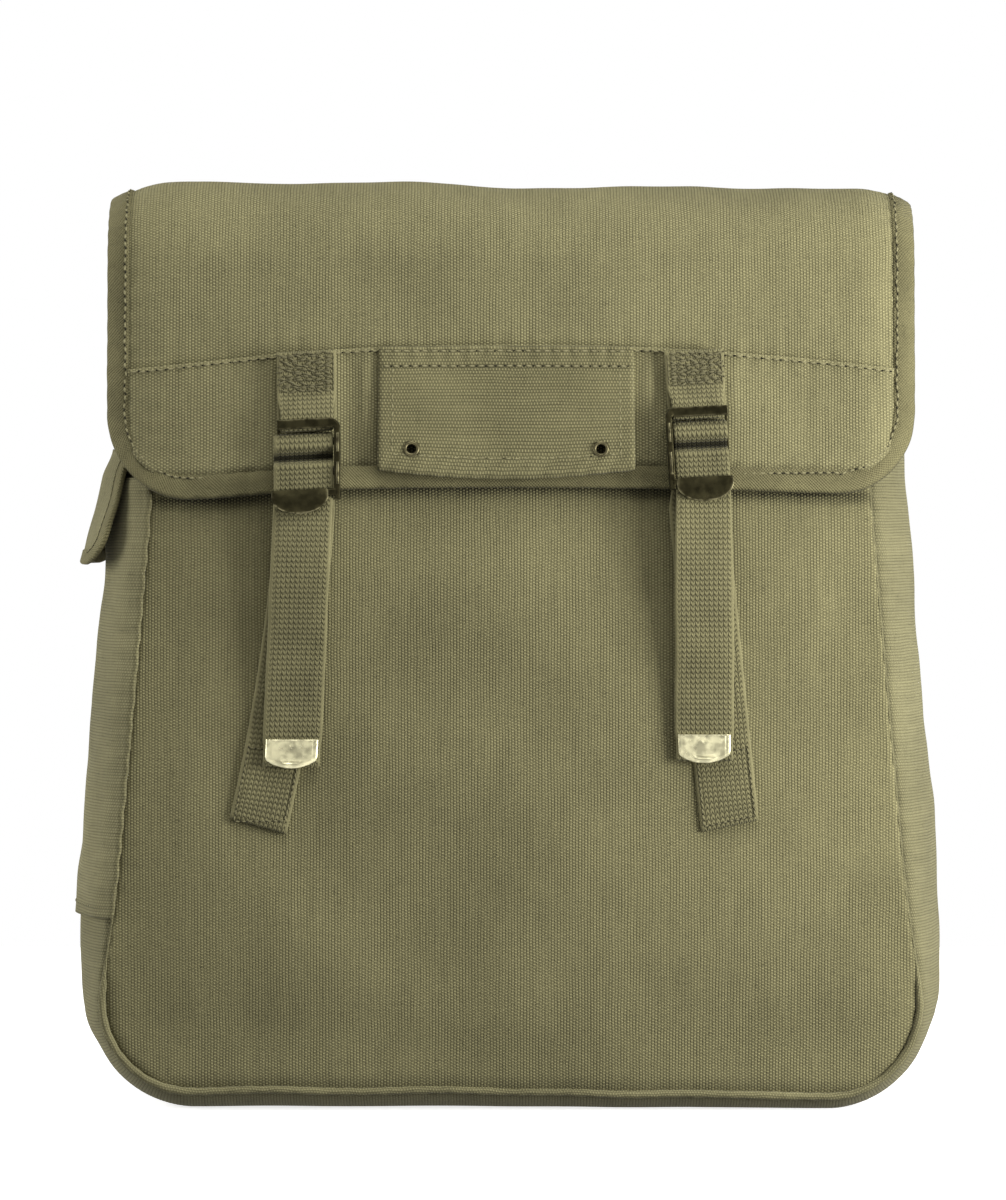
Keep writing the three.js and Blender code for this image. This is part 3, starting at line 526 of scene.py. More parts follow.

# Tones of a thread's middle, of its ends and of the needle hole, for each kind of row: painted light on the
# middle, painted shade at the ends and in the hole.
seamTones = (0.45, -0.55, -0.85)
patchTones = (0.0, -0.14, -0.22)
footTones = (0.2, -0.3, -0.5)


# A rounded thread from start to end, its tone falling from a painted highlight in the middle to painted
# shade at its ends.
def addStitch(bm, start, end, normal, radius, middleTone, endTone):
    along = (end - start) / 2
    side = along.cross(normal).normalized() * radius
    lift = normal.normalized() * radius * 0.8
    middle = (start + end) / 2
    toneLayer = bm.verts.layers.float["tone"]
    made = bmesh.ops.create_uvsphere(bm, u_segments=6, v_segments=6, radius=1)["verts"]
    for vert in made:
        x, y, z = vert.co
        vert[toneLayer] = lerp(middleTone, endTone, abs(z) ** 3)
        vert.co = world(middle + along * z + side * x + lift * y)
        for face in vert.link_faces:
            face.smooth = True


# Stitches along a row of (point, normal) places, with a small dark thread between each two as the painted
# shade of the needle hole.
def addStitchRow(bm, places, pitch, radius, seed, tones):
    rng = random.Random(seed)
    middleTone, endTone, holeTone = tones
    walked = 0.0
    due = pitch / 2
    for (a, normal), (b, _) in zip(places, places[1:]):
        length = (b - a).length
        while due <= walked + length:
            at = a.lerp(b, (due - walked) / length)
            along = (b - a).normalized() * pitch * stitch["length"] / 2
            tilt = along.cross(normal).normalized() * rng.uniform(-stitch["jitter"], stitch["jitter"])
            middle = at + normal.normalized() * radius * stitch["lift"]
            start, end = middle - along - tilt, middle + along + tilt
            addStitch(bm, start, end, normal, radius, middleTone, endTone)
            # The needle hole: a small dark piece that stands for the shade in the hole.
            hole = at + (b - a).normalized() * pitch / 2
            across = along.normalized() * stitch["hole"]
            small = radius * stitch["holeRadius"]
            addStitch(bm, hole - across, hole + across, normal, small, holeTone, holeTone)
            due += pitch
        walked += length


# The bag's own form

bag = {
    "canvas": 1.2,
    "mouthWidth": 296,
    "footWidth": 340,
    "mouthDepth": 84,
    "bellyDepth": 108,
    "mouthHeight": 358,
    "seamHeight": 9,
    "cornerRadius": 36,
    "frontCrown": 8,
    "backCrown": 4,
    "crownPower": 2.5,
    "gussetSwell": 17.5,
    "weltRadius": 1.6,
    "gap": 0.3,
}
sections = [
    {"height": 0.00, "spread": 1.00, "belly": 0.62, "crown": 0.00, "swell": 0.48},
    {"height": 0.07, "spread": 1.00, "belly": 0.72, "crown": 0.34, "swell": 0.48},
    {"height": 0.15, "spread": 0.93, "belly": 0.86, "crown": 0.68, "swell": 0.69},
    {"height": 0.26, "spread": 0.68, "belly": 0.97, "crown": 0.93, "swell": 0.95},
    {"height": 0.40, "spread": 0.46, "belly": 1.00, "crown": 1.00, "swell": 1.00},
    {"height": 0.60, "spread": 0.17, "belly": 0.86, "crown": 0.86, "swell": 1.00},
    {"height": 0.72, "spread": 0.02, "belly": 0.62, "crown": 0.62, "swell": 1.00},
    {"height": 0.85, "spread": 0.00, "belly": 0.30, "crown": 0.42, "swell": 0.82},
    {"height": 1.00, "spread": 0.00, "belly": 0.00, "crown": 0.24, "swell": 0.22},
]


# A column of the sections table at a height, on a smooth curve through its rows.
def sectionAt(column, z):
    share = clamp(z / bag["mouthHeight"])
    above = 1
    while above < len(sections) - 1 and sections[above]["height"] < share:
        above += 1

    def slope(i):
        low = sections[max(0, i - 1)]
        high = sections[min(len(sections) - 1, i + 1)]
        return (high[column] - low[column]) / (high["height"] - low["height"])

    low, high = sections[above - 1], sections[above]
    span = high["height"] - low["height"]
    t = (share - low["height"]) / span
    rise = slope(above - 1) * (t - 1) * (t - 1) * t + slope(above) * t * t * (t - 1)
    return lerp(low[column], high[column], t * t * (3 - 2 * t)) + rise * span


def halfWidthAt(z):
    radius = bag["cornerRadius"]
    full = lerp(bag["mouthWidth"], bag["footWidth"], sectionAt("spread", z)) / 2
    below = clamp(bag["seamHeight"] + radius - z, 0, radius)
    return full - radius + math.sqrt(radius**2 - below**2)


def halfDepthAt(z):
    return lerp(bag["mouthDepth"], bag["bellyDepth"], sectionAt("belly", z)) / 2


# How far the filled cloth stands proud: broad slack, a few soft folds and gathers at the seams.
softFolds = [
    {"x": 138, "z": 106, "lean": 0.35, "length": 42, "width": 7, "height": 1.3},
    {"x": -128, "z": 150, "lean": -1.6, "length": 90, "width": 14, "height": 1.4},
    {"x": 60, "z": 62, "lean": 0.5, "length": 60, "width": 16, "height": 0.9},
    {"x": -70, "z": 66, "lean": -0.7, "length": 60, "width": 18, "height": 0.8},
    {"x": 128, "z": 214, "lean": 1.2, "length": 60, "width": 13, "height": 1.1},
    {"x": 5, "z": 205, "lean": -1.3, "length": 70, "width": 26, "height": 0.9},
]


def foldAt(x, z, fold):
    cosine, sine = math.cos(fold["lean"]), math.sin(fold["lean"])
    dx, dz = x - fold["x"], z - fold["z"]
    along = dx * cosine + dz * sine
    across = dz * cosine - dx * sine
    return fold["height"] * bell(along, 0, fold["length"]) * bell(across, 0, fold["width"])


def frontSlack(x, z):
    edge = halfWidthAt(z) - abs(x)
    inside = clamp(edge / 26)
    broad = slack(x, z, 74, 3.1, 3.4) + slack(x, z, 31, 8.4, 1.0)
    folds = sum(foldAt(x, z, fold) for fold in softFolds)
    sides = pucker(edge, z, 9, 10.5, 0.14)
    foot = pucker(z - bag["seamHeight"], x, 10, 23, 0.1)
    return (broad + folds) * inside * clamp((z - 10) / 26) + sides + foot


def frontFace(x, z):
    u = abs(x) / halfWidthAt(z)
    crown = sectionAt("crown", z) * (1 - u ** bag["crownPower"])
    return -halfDepthAt(z) - bag["frontCrown"] * crown - frontSlack(x, z)


def backFace(x, z):
    u = abs(x) / halfWidthAt(z)
    crown = sectionAt("crown", z) * (1 - u * u)
    inside = clamp(1 - u**6)
    return halfDepthAt(z) + bag["backCrown"] * crown + slack(x, z, 66, 5.7, 2.0) * inside


cornerTop = bag["seamHeight"] + bag["cornerRadius"]
cornerMiddle = halfWidthAt(cornerTop) - bag["cornerRadius"]
seamInset = bag["weltRadius"] + bag["gap"]
cornerArc = bag["cornerRadius"] * math.pi / 2
sideLength = bag["mouthHeight"] - cornerTop
seamLength = 2 * (cornerMiddle + cornerArc + sideLength)

pocket = {
    "bottom": 80, "top": 262, "depth": 74, "standOff": 0.8, "hug": 5, "seam": 0.4,
    "flapTop": 274, "flapHeight": 48, "flapRadius": 12, "flapLift": 8, "tapeWidth": 6, "tapeThick": 2.4,
}

# The rolled seam: full round the lower corners and along the bottom, a low ridge up the sides.
roll = {
    "lower": 1.7, "upper": 0.68, "covered": 0.62, "fadeFrom": 44, "fadeTo": 64, "twist": 3.4,
    "lowerInset": 1.3, "upperInset": 0.05, "tuck": 1.4, "lift": -0.6, "rightLift": -1.8,
}


# How far a height is above the rolled part of the seam, from 0 to 1.
def aboveRoll(z):
    return smoothstep(z, roll["fadeFrom"], roll["fadeTo"])


# The front's bottom seam doesn't run level: it rises towards the right.
def seamLift(x, z):
    full = roll["lift"] + roll["rightLift"] * smoothstep(x, -20, 130) + slack(x, 0, 38, 5.5, 1.3)
    return full * (1 - smoothstep(z, 8, 52))


# Height of a row of a panel, and half its width there, from the bottom seam to the mouth.
def panelRow(t):
    inner = bag["cornerRadius"] - roll["lowerInset"]
    arc = inner * math.pi / 2
    walked = t * (arc + sideLength)
    if walked < arc:
        angle = walked / inner
        return cornerTop - inner * math.cos(angle), cornerMiddle + inner * math.sin(angle)
    z = cornerTop + walked - arc
    return z, halfWidthAt(z) - lerp(roll["lowerInset"], roll["upperInset"], aboveRoll(z))


# How far the flap's lower edge dips.
def flapDip(x):
    left = flap["leftDip"] * bell(x, flap["leftDipAt"], flap["leftDipReach"])
    return flap["cornerDip"] * (x / flapHalf) ** 2 + left


# Painted shadow: how dark the front is under the flap's lower edge.
def hemShadow(x, z):
    hem = flap["bottom"] - flapDip(x)
    return 0.8 * bell(z, hem - 0.8, 2.4) * smoothstep(flapHalf - abs(x), 4, 30)


def makePanel(name, face, outward, node):
    def place(s, t):
        z, half = panelRow(t)
        x = half * (2 * s - 1)
        edge = min(half - abs(x), z - bag["seamHeight"] - seamInset)
        plain = aboveRoll(z)
        tuck = clamp(1 - edge / 6) ** 2 * lerp(roll["tuck"], 0.1, plain)
        # Painted shade in the crease along the seams, deeper by the rolled lower seam, and random tone.
        tone = lerp(-0.14, -0.02, plain) * bell(edge, 0, 4) + slack(x, z, 55, 12.2, 0.10)
        lift = 0
        if outward < 0:
            lift = seamLift(x, z)
            # Painted shadow under the flap's lower edge.
            tone -= hemShadow(x, z)
        return Vector((x, face(x, z) - outward * tuck, z + lift)), (x, z), tone

    bm = bmesh.new()
    addGrid(bm, 136, 150, place)
    return makePiece(bm, name, "panel", [node], wall=bag["canvas"])


# A place along the bag's seam, from the left of the mouth, under the bag, to the right: the seam's
# point, the way out of the bag there, and how far it belongs to the bottom.
def seamPlace(share):
    walked = (2 * share - 1) * seamLength / 2
    side = 1 if walked >= 0 else -1
    reach = abs(walked)
    if reach <= cornerMiddle:
        return {"x": walked, "z": bag["seamHeight"], "outX": 0, "outZ": -1, "under": 1}
    if reach <= cornerMiddle + cornerArc:
        angle = (reach - cornerMiddle) / bag["cornerRadius"]
        return {
            "x": side * (cornerMiddle + bag["cornerRadius"] * math.sin(angle)),
            "z": cornerTop - bag["cornerRadius"] * math.cos(angle),
            "outX": side * math.sin(angle),
            "outZ": -math.cos(angle),
            "under": 1 - angle / (math.pi / 2),
        }
    z = cornerTop + reach - cornerMiddle - cornerArc
    return {"x": side * halfWidthAt(z), "z": z, "outX": side, "outZ": 0, "under": 0}


flap = {
    "top": 385,
    "width": 334,
    "bottom": 258,
    "cornerRadius": 34,
    "cornerDip": 4,
    "hem": 30,
    "frontTurn": 36,
    "backTurn": 24,
    "edgeCurl": 7,
    "curlReach": 24,
    "bindingWidth": 9.5,
    "bindingThickness": 3,
    "bindingLift": 2,
    "topSag": 2.6,
    "leftDip": 2.4,
    "leftDipAt": -128,
    "leftDipReach": 34,
}
flapHalf = flap["width"] / 2
frontTurnHeight = flap["top"] - flap["frontTurn"]
backTurnHeight = flap["top"] - flap["backTurn"]
flapStandOff = bag["canvas"] / 2 + flap["bindingLift"] + flap["bindingThickness"] / 2
hemOut = bag["weltRadius"] + bag["gap"] + bag["canvas"] / 2


def plainFront(z):
    return -halfDepthAt(z) - bag["frontCrown"] * sectionAt("crown", z)


def plainBack(z):
    return halfDepthAt(z) + bag["backCrown"] * sectionAt("crown", z)


flapFrontY = plainFront(frontTurnHeight) - flapStandOff
flapBackY = plainBack(backTurnHeight) + hemOut


def curlAt(x):
    reach = flap["curlReach"]
    return flap["edgeCurl"] * clamp((abs(x) - flapHalf + reach) / reach, 0, 2) ** 2


def topSagAt(x):
    return flap["topSag"] * smoothstep(x, -70, 10) + 0.8 * bell(x, -160, 12)


def flapHeightAt(y):
    front = max(0, flapFrontY + flap["frontTurn"] - y)
    back = max(0, y - flapBackY + flap["backTurn"])

    def sag(radius, reach):
        return radius - math.sqrt(max(0, radius**2 - reach**2))

    return flap["top"] - sag(flap["frontTurn"], front) - sag(flap["backTurn"], back)


gussetSizes = {"flatShare": 0.46, "riseStart": 0.82}


def gussetPoint(place, t):
    z = place["z"]
    half = halfDepthAt(z) - lerp(roll["lowerInset"], roll["upperInset"], aboveRoll(z))
    y = lerp(-half, half, t)
    arch = math.sin(math.pi * clamp(t))
    swell = bag["gussetSwell"] * sectionAt("swell", z) * arch**0.75
    flatEdge = clamp((abs(2 * t - 1) - gussetSizes["flatShare"]) / (1 - gussetSizes["flatShare"]))
    flat = (bag["seamHeight"] - bag["canvas"] / 2) * (1 - flatEdge**3)
    reach = lerp(swell, flat, place["under"])
    away = place["x"] * place["outZ"] - z * place["outX"]
    loose = slack(away + 40 * place["x"] / 170, y, 34, 4.4, 1.5) + slack(away, y, 15, 6.1, 0.4)
    reach += loose * arch * (1 - place["under"])
    reach += pucker(t * 2 * half, away, 8, 11, 0.3) * (1 - place["under"])
    x = place["x"] + place["outX"] * reach
    lift = seamLift(x, z) * max(0, 1 - 2.4 * t) ** 2
    ceiling = flapHeightAt(y) - bag["canvas"] - bag["gap"] - curlAt(x) - topSagAt(x)
    start = gussetSizes["riseStart"] * bag["mouthHeight"]
    share = clamp((z - start) / (bag["mouthHeight"] - start))
    rise = (ceiling - bag["mouthHeight"]) * math.sqrt(arch) * share
    return Vector((x, y, z + place["outZ"] * reach + rise + lift))


def makeGusset():
    def place(s, t):
        spot = seamPlace(s)
        point = gussetPoint(spot, t)
        half = halfDepthAt(spot["z"])
        edge = min(t, 1 - t) * 2 * half
        # Painted shade in the crease along the seams, and random tone.
        tone = -0.12 * bell(edge, 0, 4) + slack(s * seamLength, t * 100, 40, 2.2, 0.12)
        return point, (s * seamLength, t * 2 * half), tone

    bm = bmesh.new()
    addGrid(bm, 400, 40, place)
    return makePiece(bm, "gussetCloth", "gusset", ["gusset"], wall=bag["canvas"])


makePanel("frontShell", frontFace, -1, "front_panel")
makePanel("backShell", backFace, 1, "back_panel")
print("stage: panels")
makeGusset()


def makeSeamRoll(name, side, node):
    def ring(share):
        spot = seamPlace(share)
        z = spot["z"]
        along = share * seamLength
        radius = lerp(roll["lower"], roll["upper"], aboveRoll(z))
        if spot["x"] < 0 and pocket["bottom"] < z < pocket["top"]:
            radius = roll["covered"]
        lift = seamLift(spot["x"], z) if side < 0 else 0
        loose = lerp(1, 0.25, aboveRoll(z))
        radius += slack(along, 0, 9, side * 3.3, 0.22) * loose
        y = side * (halfDepthAt(z) + slack(along, 4, 22, 7.7, 0.5) * loose)
        points = []
        for angle in steps(10, 0, 2 * math.pi)[:-1]:
            ripple = 1 + 0.07 * math.sin(2 * math.pi * along / roll["twist"] + 2 * angle)
            out = radius * ripple * math.cos(angle) - 0.2
            depth = y + radius * ripple * math.sin(angle)
            point = Vector((spot["x"] + spot["outX"] * out, depth, z + spot["outZ"] * out + lift))
            points.append((point, radius * angle))
        return points

    def tone(across, along):
        return slack(along, 0, 30, 2.9, 0.2)

    bm = bmesh.new()
    addLoft(bm, [ring(share) for share in steps(420)], tone)
    return makePiece(bm, name, "gusset", [node])


makeSeamRoll("frontSeamRoll", -1, "front_seam_welt")
makeSeamRoll("backSeamRoll", 1, "back_seam_welt")
print("stage: gusset and seams")


# The flap

backRise = flap["hem"]
backTurnEnd = backRise + flap["backTurn"] * math.pi / 2
topLength = flapBackY - flap["backTurn"] - flapFrontY - flap["frontTurn"]
topEnd = backTurnEnd + topLength
frontStart = topEnd + flap["frontTurn"] * math.pi / 2
flapLength = frontStart + frontTurnHeight - flap["bottom"]
clothInset = flap["bindingWidth"] - 1.6
clothHalf = flapHalf - clothInset
clothLength = flapLength - clothInset
clothRadius = flap["cornerRadius"] - clothInset
layer = {"height": 59, "bow": 9, "gap": 0.5}
layerTop = flapLength - layer["height"]

tab = {
    "width": 104,
    "height": 50,
    "middle": -2,
    "top": 316,
    "thick": 2.0,
    "bow": 4,
    "lift": 3.2,
    "sewnShare": 0.15,
    "flare": 1.2,
}
eyelets = {"spacing": 77, "drop": 41, "hole": 2.0, "rim": 3.5, "wall": 0.45}

# Upright tucks in the flap's second layer, beside the tab and the chapes.
tucks = [
    {"x": -59.5, "width": 2.4, "height": 1.1, "top": 316, "foot": 268},
    {"x": -66.5, "width": 3.0, "height": -0.5, "top": 314, "foot": 274},
    {"x": 56.5, "width": 2.2, "height": 1.2, "top": 316, "foot": 270},
    {"x": 61.0, "width": 1.6, "height": -0.6, "top": 314, "foot": 284},
    {"x": -97.5, "width": 2.5, "height": 0.7, "top": 312, "foot": 292},
    {"x": 92.0, "width": 2.6, "height": 0.7, "top": 312, "foot": 286},
]


def layerEdge(x):
    return layerTop + layer["bow"] * (x / flapHalf) ** 2


def flapSlack(x, s):
    z = frontTurnHeight - (s - frontStart)
    broad = slack(x, s, 62, 21.5, 2.6) + slack(x, s, 26, 14.1, 0.8)
    edge = min(clothHalf - abs(x), clothLength - s)
    hem = pucker(edge, x + s, 7, 9.5, 0.3)
    seam = pucker(s - layerEdge(x), x, 6, 8.5, 0.34)
    inside = clamp((flapHalf - abs(x)) / 30) * clamp(s / 30)
    folds = 0.0
    for tuck in tucks:
        span = smoothstep(z, tuck["foot"] - 6, tuck["foot"] + 6)
        span *= 1 - smoothstep(z, tuck["top"], tuck["top"] + 5)
        folds += tuck["height"] * bell(x, tuck["x"], tuck["width"]) * span
    return broad * inside + hem + seam + folds


# A point of the flap s along its cloth, from the hem at the back to the front edge, and out from it.
def flapSurface(x, s, out=0.0):
    curl = curlAt(x)
    off = out + flapSlack(x, s)
    if s < backRise:
        z = backTurnHeight - backRise + s
        return Vector((x, backFace(x, z) + hemOut - curl + max(0, off), z))
    sag = topSagAt(x)
    if s < backTurnEnd:
        angle = (s - backRise) / flap["backTurn"]
        radius = flap["backTurn"] - curl + off
        swell = backFace(x, backTurnHeight) - plainBack(backTurnHeight)
        y = flapBackY - flap["backTurn"] + (radius + swell) * math.cos(angle)
        return Vector((x, y, backTurnHeight + (radius - sag) * math.sin(angle)))
    if s < topEnd:
        y = flapBackY - flap["backTurn"] - (s - backTurnEnd)
        return Vector((x, y, flap["top"] - curl - sag + off))
    if s < frontStart:
        angle = (s - topEnd) / flap["frontTurn"]
        radius = flap["frontTurn"] - curl + off
        swell = frontFace(x, frontTurnHeight) - plainFront(frontTurnHeight)
        y = flapFrontY + flap["frontTurn"] - (radius - swell) * math.sin(angle)
        return Vector((x, y, frontTurnHeight + (radius - sag) * math.cos(angle)))
    down = clamp((s - frontStart) / (flapLength - frontStart), 0, 2)
    z = frontTurnHeight - (s - frontStart) - flapDip(x) * down
    return Vector((x, frontFace(x, z) - flapStandOff + curl - off, z))


def onFlap(x, z, out):
    return flapSurface(x, frontStart + frontTurnHeight - z, out)


def surfaceNormal(surface, x, s):
    point = surface(x, s)
    across = surface(x + 0.5, s) - point
    return across.cross(surface(x, s + 0.5) - point).normalized()


# A row of a tongue-shaped cloth with rounded lower corners: how far down it is, and half its width.
def tongueRow(t, half, start, length, radius):
    arc = radius * math.pi / 2
    walked = t * (length - radius - start + arc)
    straight = length - radius - start
    if walked <= straight:
        return start + walked, half
    angle = (walked - straight) / radius
    return length - radius + radius * math.sin(angle), half - radius + radius * math.cos(angle)


def makeFlap():
    def place(s, t):
        down, reach = tongueRow(t, clothHalf, 0, clothLength, clothRadius)
        x = reach * (2 * s - 1)
        seam = down - layerEdge(x)
        # Painted shade in the crease under the second layer's edge, and random tone.
        tone = -0.10 * bell(seam, 1, 2.5) + slack(x, down, 48, 15.3, 0.12)
        # Painted highlight on the rounded top of the front, which faces the light above.
        tone += 0.05 * bell(down, topEnd + 20, 26)
        return flapSurface(x, down), (x, down), tone

    bm = bmesh.new()
    addGrid(bm, 134, 116, place)
    return makePiece(bm, "flapCloth", "flap", ["flap"], wall=bag["canvas"])


flapCloth = makeFlap()


# Painted shadow: the cloth behind an eyelet is darkened as if in its shadow.
def eyeletShadow(x, s):
    z = frontTurnHeight - (s - frontStart)
    off = abs(abs(x - tab["middle"]) - eyelets["spacing"] / 2)
    return 0.9 * bell(math.hypot(off, z - tab["top"] + eyelets["drop"]), 0, 3.2)


def makeLayer():
    out = bag["canvas"] + 0.15

    def place(s, t):
        down, reach = tongueRow(t, clothHalf, layerTop, clothLength, clothRadius)
        x = reach * (2 * s - 1)
        down += layer["bow"] * (x / flapHalf) ** 2 * (1 - t)
        fold = 0.45 * clamp(1 - (down - layerEdge(x)) / 2.5) ** 0.5
        edge = min(clothHalf - abs(x), clothLength - down)
        fold -= 1.3 * clamp((3.6 - edge) / 2.2)
        tone = 0.10 * bell(down - layerEdge(x), 0, 1.6) + slack(x, down, 40, 11.9, 0.12)
        # The layer's tone, less the painted shadow behind the eyelets.
        return flapSurface(x, down, out + fold), (x, down), tone - eyeletShadow(x, down)

    bm = bmesh.new()
    addGrid(bm, 160, 34, place)
    return makePiece(bm, "flapLayer", "flap", ["flap_reinforcement"], wall=bag["canvas"])


makeLayer()


# Folded tape round a tongue's edge, as rings of a rounded fold.
def tapeRings(surface, half, length, radius, width, thick, spacing):
    straight = length - radius
    arc = radius * math.pi / 2
    total = 2 * (straight + arc + half - radius)
    fold = thick / 2
    profile = [(width, fold * 0.62), (width - 0.5, fold), (width * 0.55, fold)]
    profile += [(fold - fold * math.cos(a), fold * math.sin(a)) for a in steps(6, math.pi / 2, -math.pi / 2)]
    profile += [(width * 0.55, -fold), (width - 0.5, -fold), (width, -fold * 0.62)]
    rings = []
    for share in steps(round(total / spacing)):
        walked = share * total
        side = 1
        if walked > total / 2:
            walked = total - walked
            side = -1
        if walked < straight:
            x, s, inX, inS = half, walked, -1, 0
        elif walked < straight + arc:
            angle = (walked - straight) / radius
            x = half - radius + radius * math.cos(angle)
            s = length - radius + radius * math.sin(angle)
            inX, inS = -math.cos(angle), -math.sin(angle)
        else:
            x, s, inX, inS = half - radius - (walked - straight - arc), length, 0, -1
        normal = surfaceNormal(surface, side * (x + inX * width / 2), s + inS * width / 2)
        ring = []
        for reach, lift in profile:
            point = surface(side * (x + inX * reach), s + inS * reach)
            ring.append((point + normal * lift, reach if lift > 0 else -reach))
        rings.append(ring)
    return rings


def makeFlapBinding():
    rings = tapeRings(
        flapSurface, flapHalf, flapLength, flap["cornerRadius"],
        flap["bindingWidth"], flap["bindingThickness"], 2.2,
    )

    def tone(across, along):
        # A little lighter just inside the fold, and painted shade along the fold's outer edge, standing for
        # the shadow under the flap's edge.
        rim = 0.12 * bell(across, -1.4, 0.8) - 0.5 * bell(across, 0.2, 0.6)
        return rim + slack(along, across, 24, 17.1, 0.14)

    bm = bmesh.new()
    addLoft(bm, rings, tone)
    return makePiece(bm, "flapTape", "tape", ["flap_binding"])


makeFlapBinding()
print("stage: flap")

# The name tab and its eyelets

layerOut = bag["canvas"] * 1.5 + layer["gap"]
tabOut = layerOut + bag["gap"] + tab["thick"] / 2


def tabSurface(across, down, out=0.0):
    share = down / tab["height"]
    u = 2 * across / tab["width"]
    bow = tab["bow"] * (1 - u * u) * share**3
    lift = tab["lift"] * smoothstep(share, tab["sewnShare"], 1)
    lift += slack(across, down, 22, 31.3, 0.9) * share + 0.5 * bell(u, 0.75, 0.12) * share
    pleats = 0.22 * math.sin(2 * math.pi * down / 2.7) * (1 - smoothstep(down, 6.4, 7.6))
    x = tab["middle"] + across * (1 + tab["flare"] * share / 100)
    return onFlap(x, tab["top"] - down - bow, tabOut + lift + pleats + out)


def makeTab():
    def place(s, t):
        across = (s - 0.5) * tab["width"]
        down = t * tab["height"]
        edge = min(tab["width"] / 2 - abs(across), tab["height"] - down)
        # Lighter at the edges, and painted shade in the crease of the second stitch row.
        tone = 0.10 * bell(edge, 0, 1.2) - 0.12 * bell(down, 7.8, 1.2)
        tone += slack(across, down, 26, 41.1, 0.16)
        rounding = 0.6 * clamp(1 - edge / 1.5) ** 2
        return tabSurface(across, down, -rounding), (down, across), tone

    bm = bmesh.new()
    addGrid(bm, 104, 50, place)
    middles = [world(tabSurface(side * eyelets["spacing"] / 2, eyelets["drop"])) for side in (-1, 1)]
    bored = [
        face for face in bm.faces
        if min((face.calc_center_median() - middle).length for middle in middles) < 2.7 * mm
    ]
    bmesh.ops.delete(bm, geom=bored, context="FACES")
    return makePiece(bm, "nameTab", "tab", ["name_tab"], wall=tab["thick"])


makeTab()


def makeEyelet(name, side, node):
    across = side * eyelets["spacing"] / 2
    centre = tabSurface(across, eyelets["drop"])
    out = surfaceNormal(tabSurface, across, eyelets["drop"])
    right = Vector((1, 0, 0))
    up = out.cross(right).normalized()
    right = up.cross(out)
    face = tab["thick"] / 2 + 0.1
    hole, rim, wall = eyelets["hole"], eyelets["rim"], eyelets["wall"]
    bead = (rim - hole) / 2
    profile = [(hole, -face - wall), (hole + wall + 0.8, -face - wall), (hole + wall + 0.8, -face)]
    profile += [(hole + wall, -face), (hole + wall, face), (rim - 0.1, face)]
    profile += [
        (hole + bead - bead * math.cos(a), face + 0.15 + 0.75 * bead * math.sin(a))
        for a in steps(6, math.pi, 0)
    ]
    rings = []
    for turn in steps(28, 0, 2 * math.pi):
        arm = right * math.cos(turn) + up * math.sin(turn)
        rings.append([(centre + arm * r + out * d, r) for r, d in profile])

    def place(s, t):
        point, reach = rings[round(s * 28)][round(t * len(profile)) % len(profile)]
        return point, (reach, 9 * s), 0.45 * bell(reach, (hole + rim) / 2, 0.5)

    bm = bmesh.new()
    made = addGrid(bm, 28, len(profile), place)
    bmesh.ops.remove_doubles(bm, verts=made, dist=1e-6)
    return makePiece(bm, name, "bronze", [node])


makeEyelet("eyeletLeft", -1, "eyelet_left")
makeEyelet("eyeletRight", 1, "eyelet_right")
print("stage: name tab")

# Chapes, buckles and straps

closures = [
    {
        "name": "Left", "node": "left", "side": -1, "x": -83.9, "top": 286.6, "tilt": 0.5, "spill": 1,
        "foot": -104, "middle": -88, "tip": -90.3, "tail": 112.5,
    },
    {
        "name": "Right", "node": "right", "side": 1, "x": 76.3, "top": 291.5, "tilt": 3.5, "spill": 0.3,
        "foot": 90, "middle": 80.5, "tip": 79.4, "tail": 115.5,
    },
]
web = {"width": 24.4, "thick": 1.8, "foot": 119, "middle": 211, "footSlant": 3.5}
metal = {
    "railGap": 22, "innerRail": 2.6, "outerRail": 1.2, "barRadius": 1.6, "barSpacing": 12.6,
    "thumbDrop": 7.2, "pinRadius": 1.0, "plate": 1.2, "lipHeight": 4.1, "thumbWidth": 23.4,
    "thumbHeight": 10, "thumbSide": 3, "corner": 2.2, "raised": ((-14.2, -6.4), (-27.5, -18.4)),
}
chapeWeb = 1.6
gap = bag["gap"]
loadDepth = gap + web["thick"] / 2
webWrap = metal["barRadius"] + gap + web["thick"] / 2
barDepth = loadDepth + webWrap
frontDepth = barDepth + webWrap
plateDepth = frontDepth + web["thick"] / 2 + gap
pinHeight = -metal["lipHeight"] / 2
chapeWrap = metal["pinRadius"] + gap + chapeWeb / 2
firstBar = pinHeight - chapeWrap - chapeWeb / 2 - 2 * gap - web["thick"] / 2 - webWrap
secondBar = firstBar - metal["barSpacing"]
thumbTop = secondBar - metal["thumbDrop"]
webDip = 0.75 * webWrap
webEdge = metal["railGap"] / 2 - gap
spillWidth = web["width"] - 2 * webEdge


# A buckle's own frame: u away from the middle of the bag, h up from its upper edge, d out.
def buckleFrame(closure):
    x, top = closure["x"], closure["top"]
    reach = web["width"] / 2
    origin = onFlap(x, top, layerOut)
    up = (origin - onFlap(x, top - reach, layerOut)).normalized()
    right = (onFlap(x + reach, top, layerOut) - onFlap(x - reach, top, layerOut)).normalized()
    out = right.cross(up).normalized()
    turn = math.radians(closure["tilt"])
    turned = right * math.cos(turn) + up * math.sin(turn)
    up = up * math.cos(turn) - right * math.sin(turn)

    def place(u, h, d):
        return origin + turned * (closure["side"] * u) + up * h + out * d

    return place, turned * closure["side"], up, out


# A web along rows of (height, depth, lower u, upper u) in a buckle's frame, as flat rings.
def frameRings(closure, rows, thick):
    place, right, up, out = buckleFrame(closure)
    rings = []
    for i, (h, d, low, high) in enumerate(rows):
        before, after = rows[max(0, i - 1)], rows[min(len(rows) - 1, i + 1)]
        away = (up * (after[1] - before[1]) + out * (before[0] - after[0])).normalized()
        rings.append((place((low + high) / 2, h, d), right, away, (high - low) / 2, thick))
    return rings


def chapeLength(closure):
    return flap["bottom"] + layer["height"] - 2 - closure["top"]


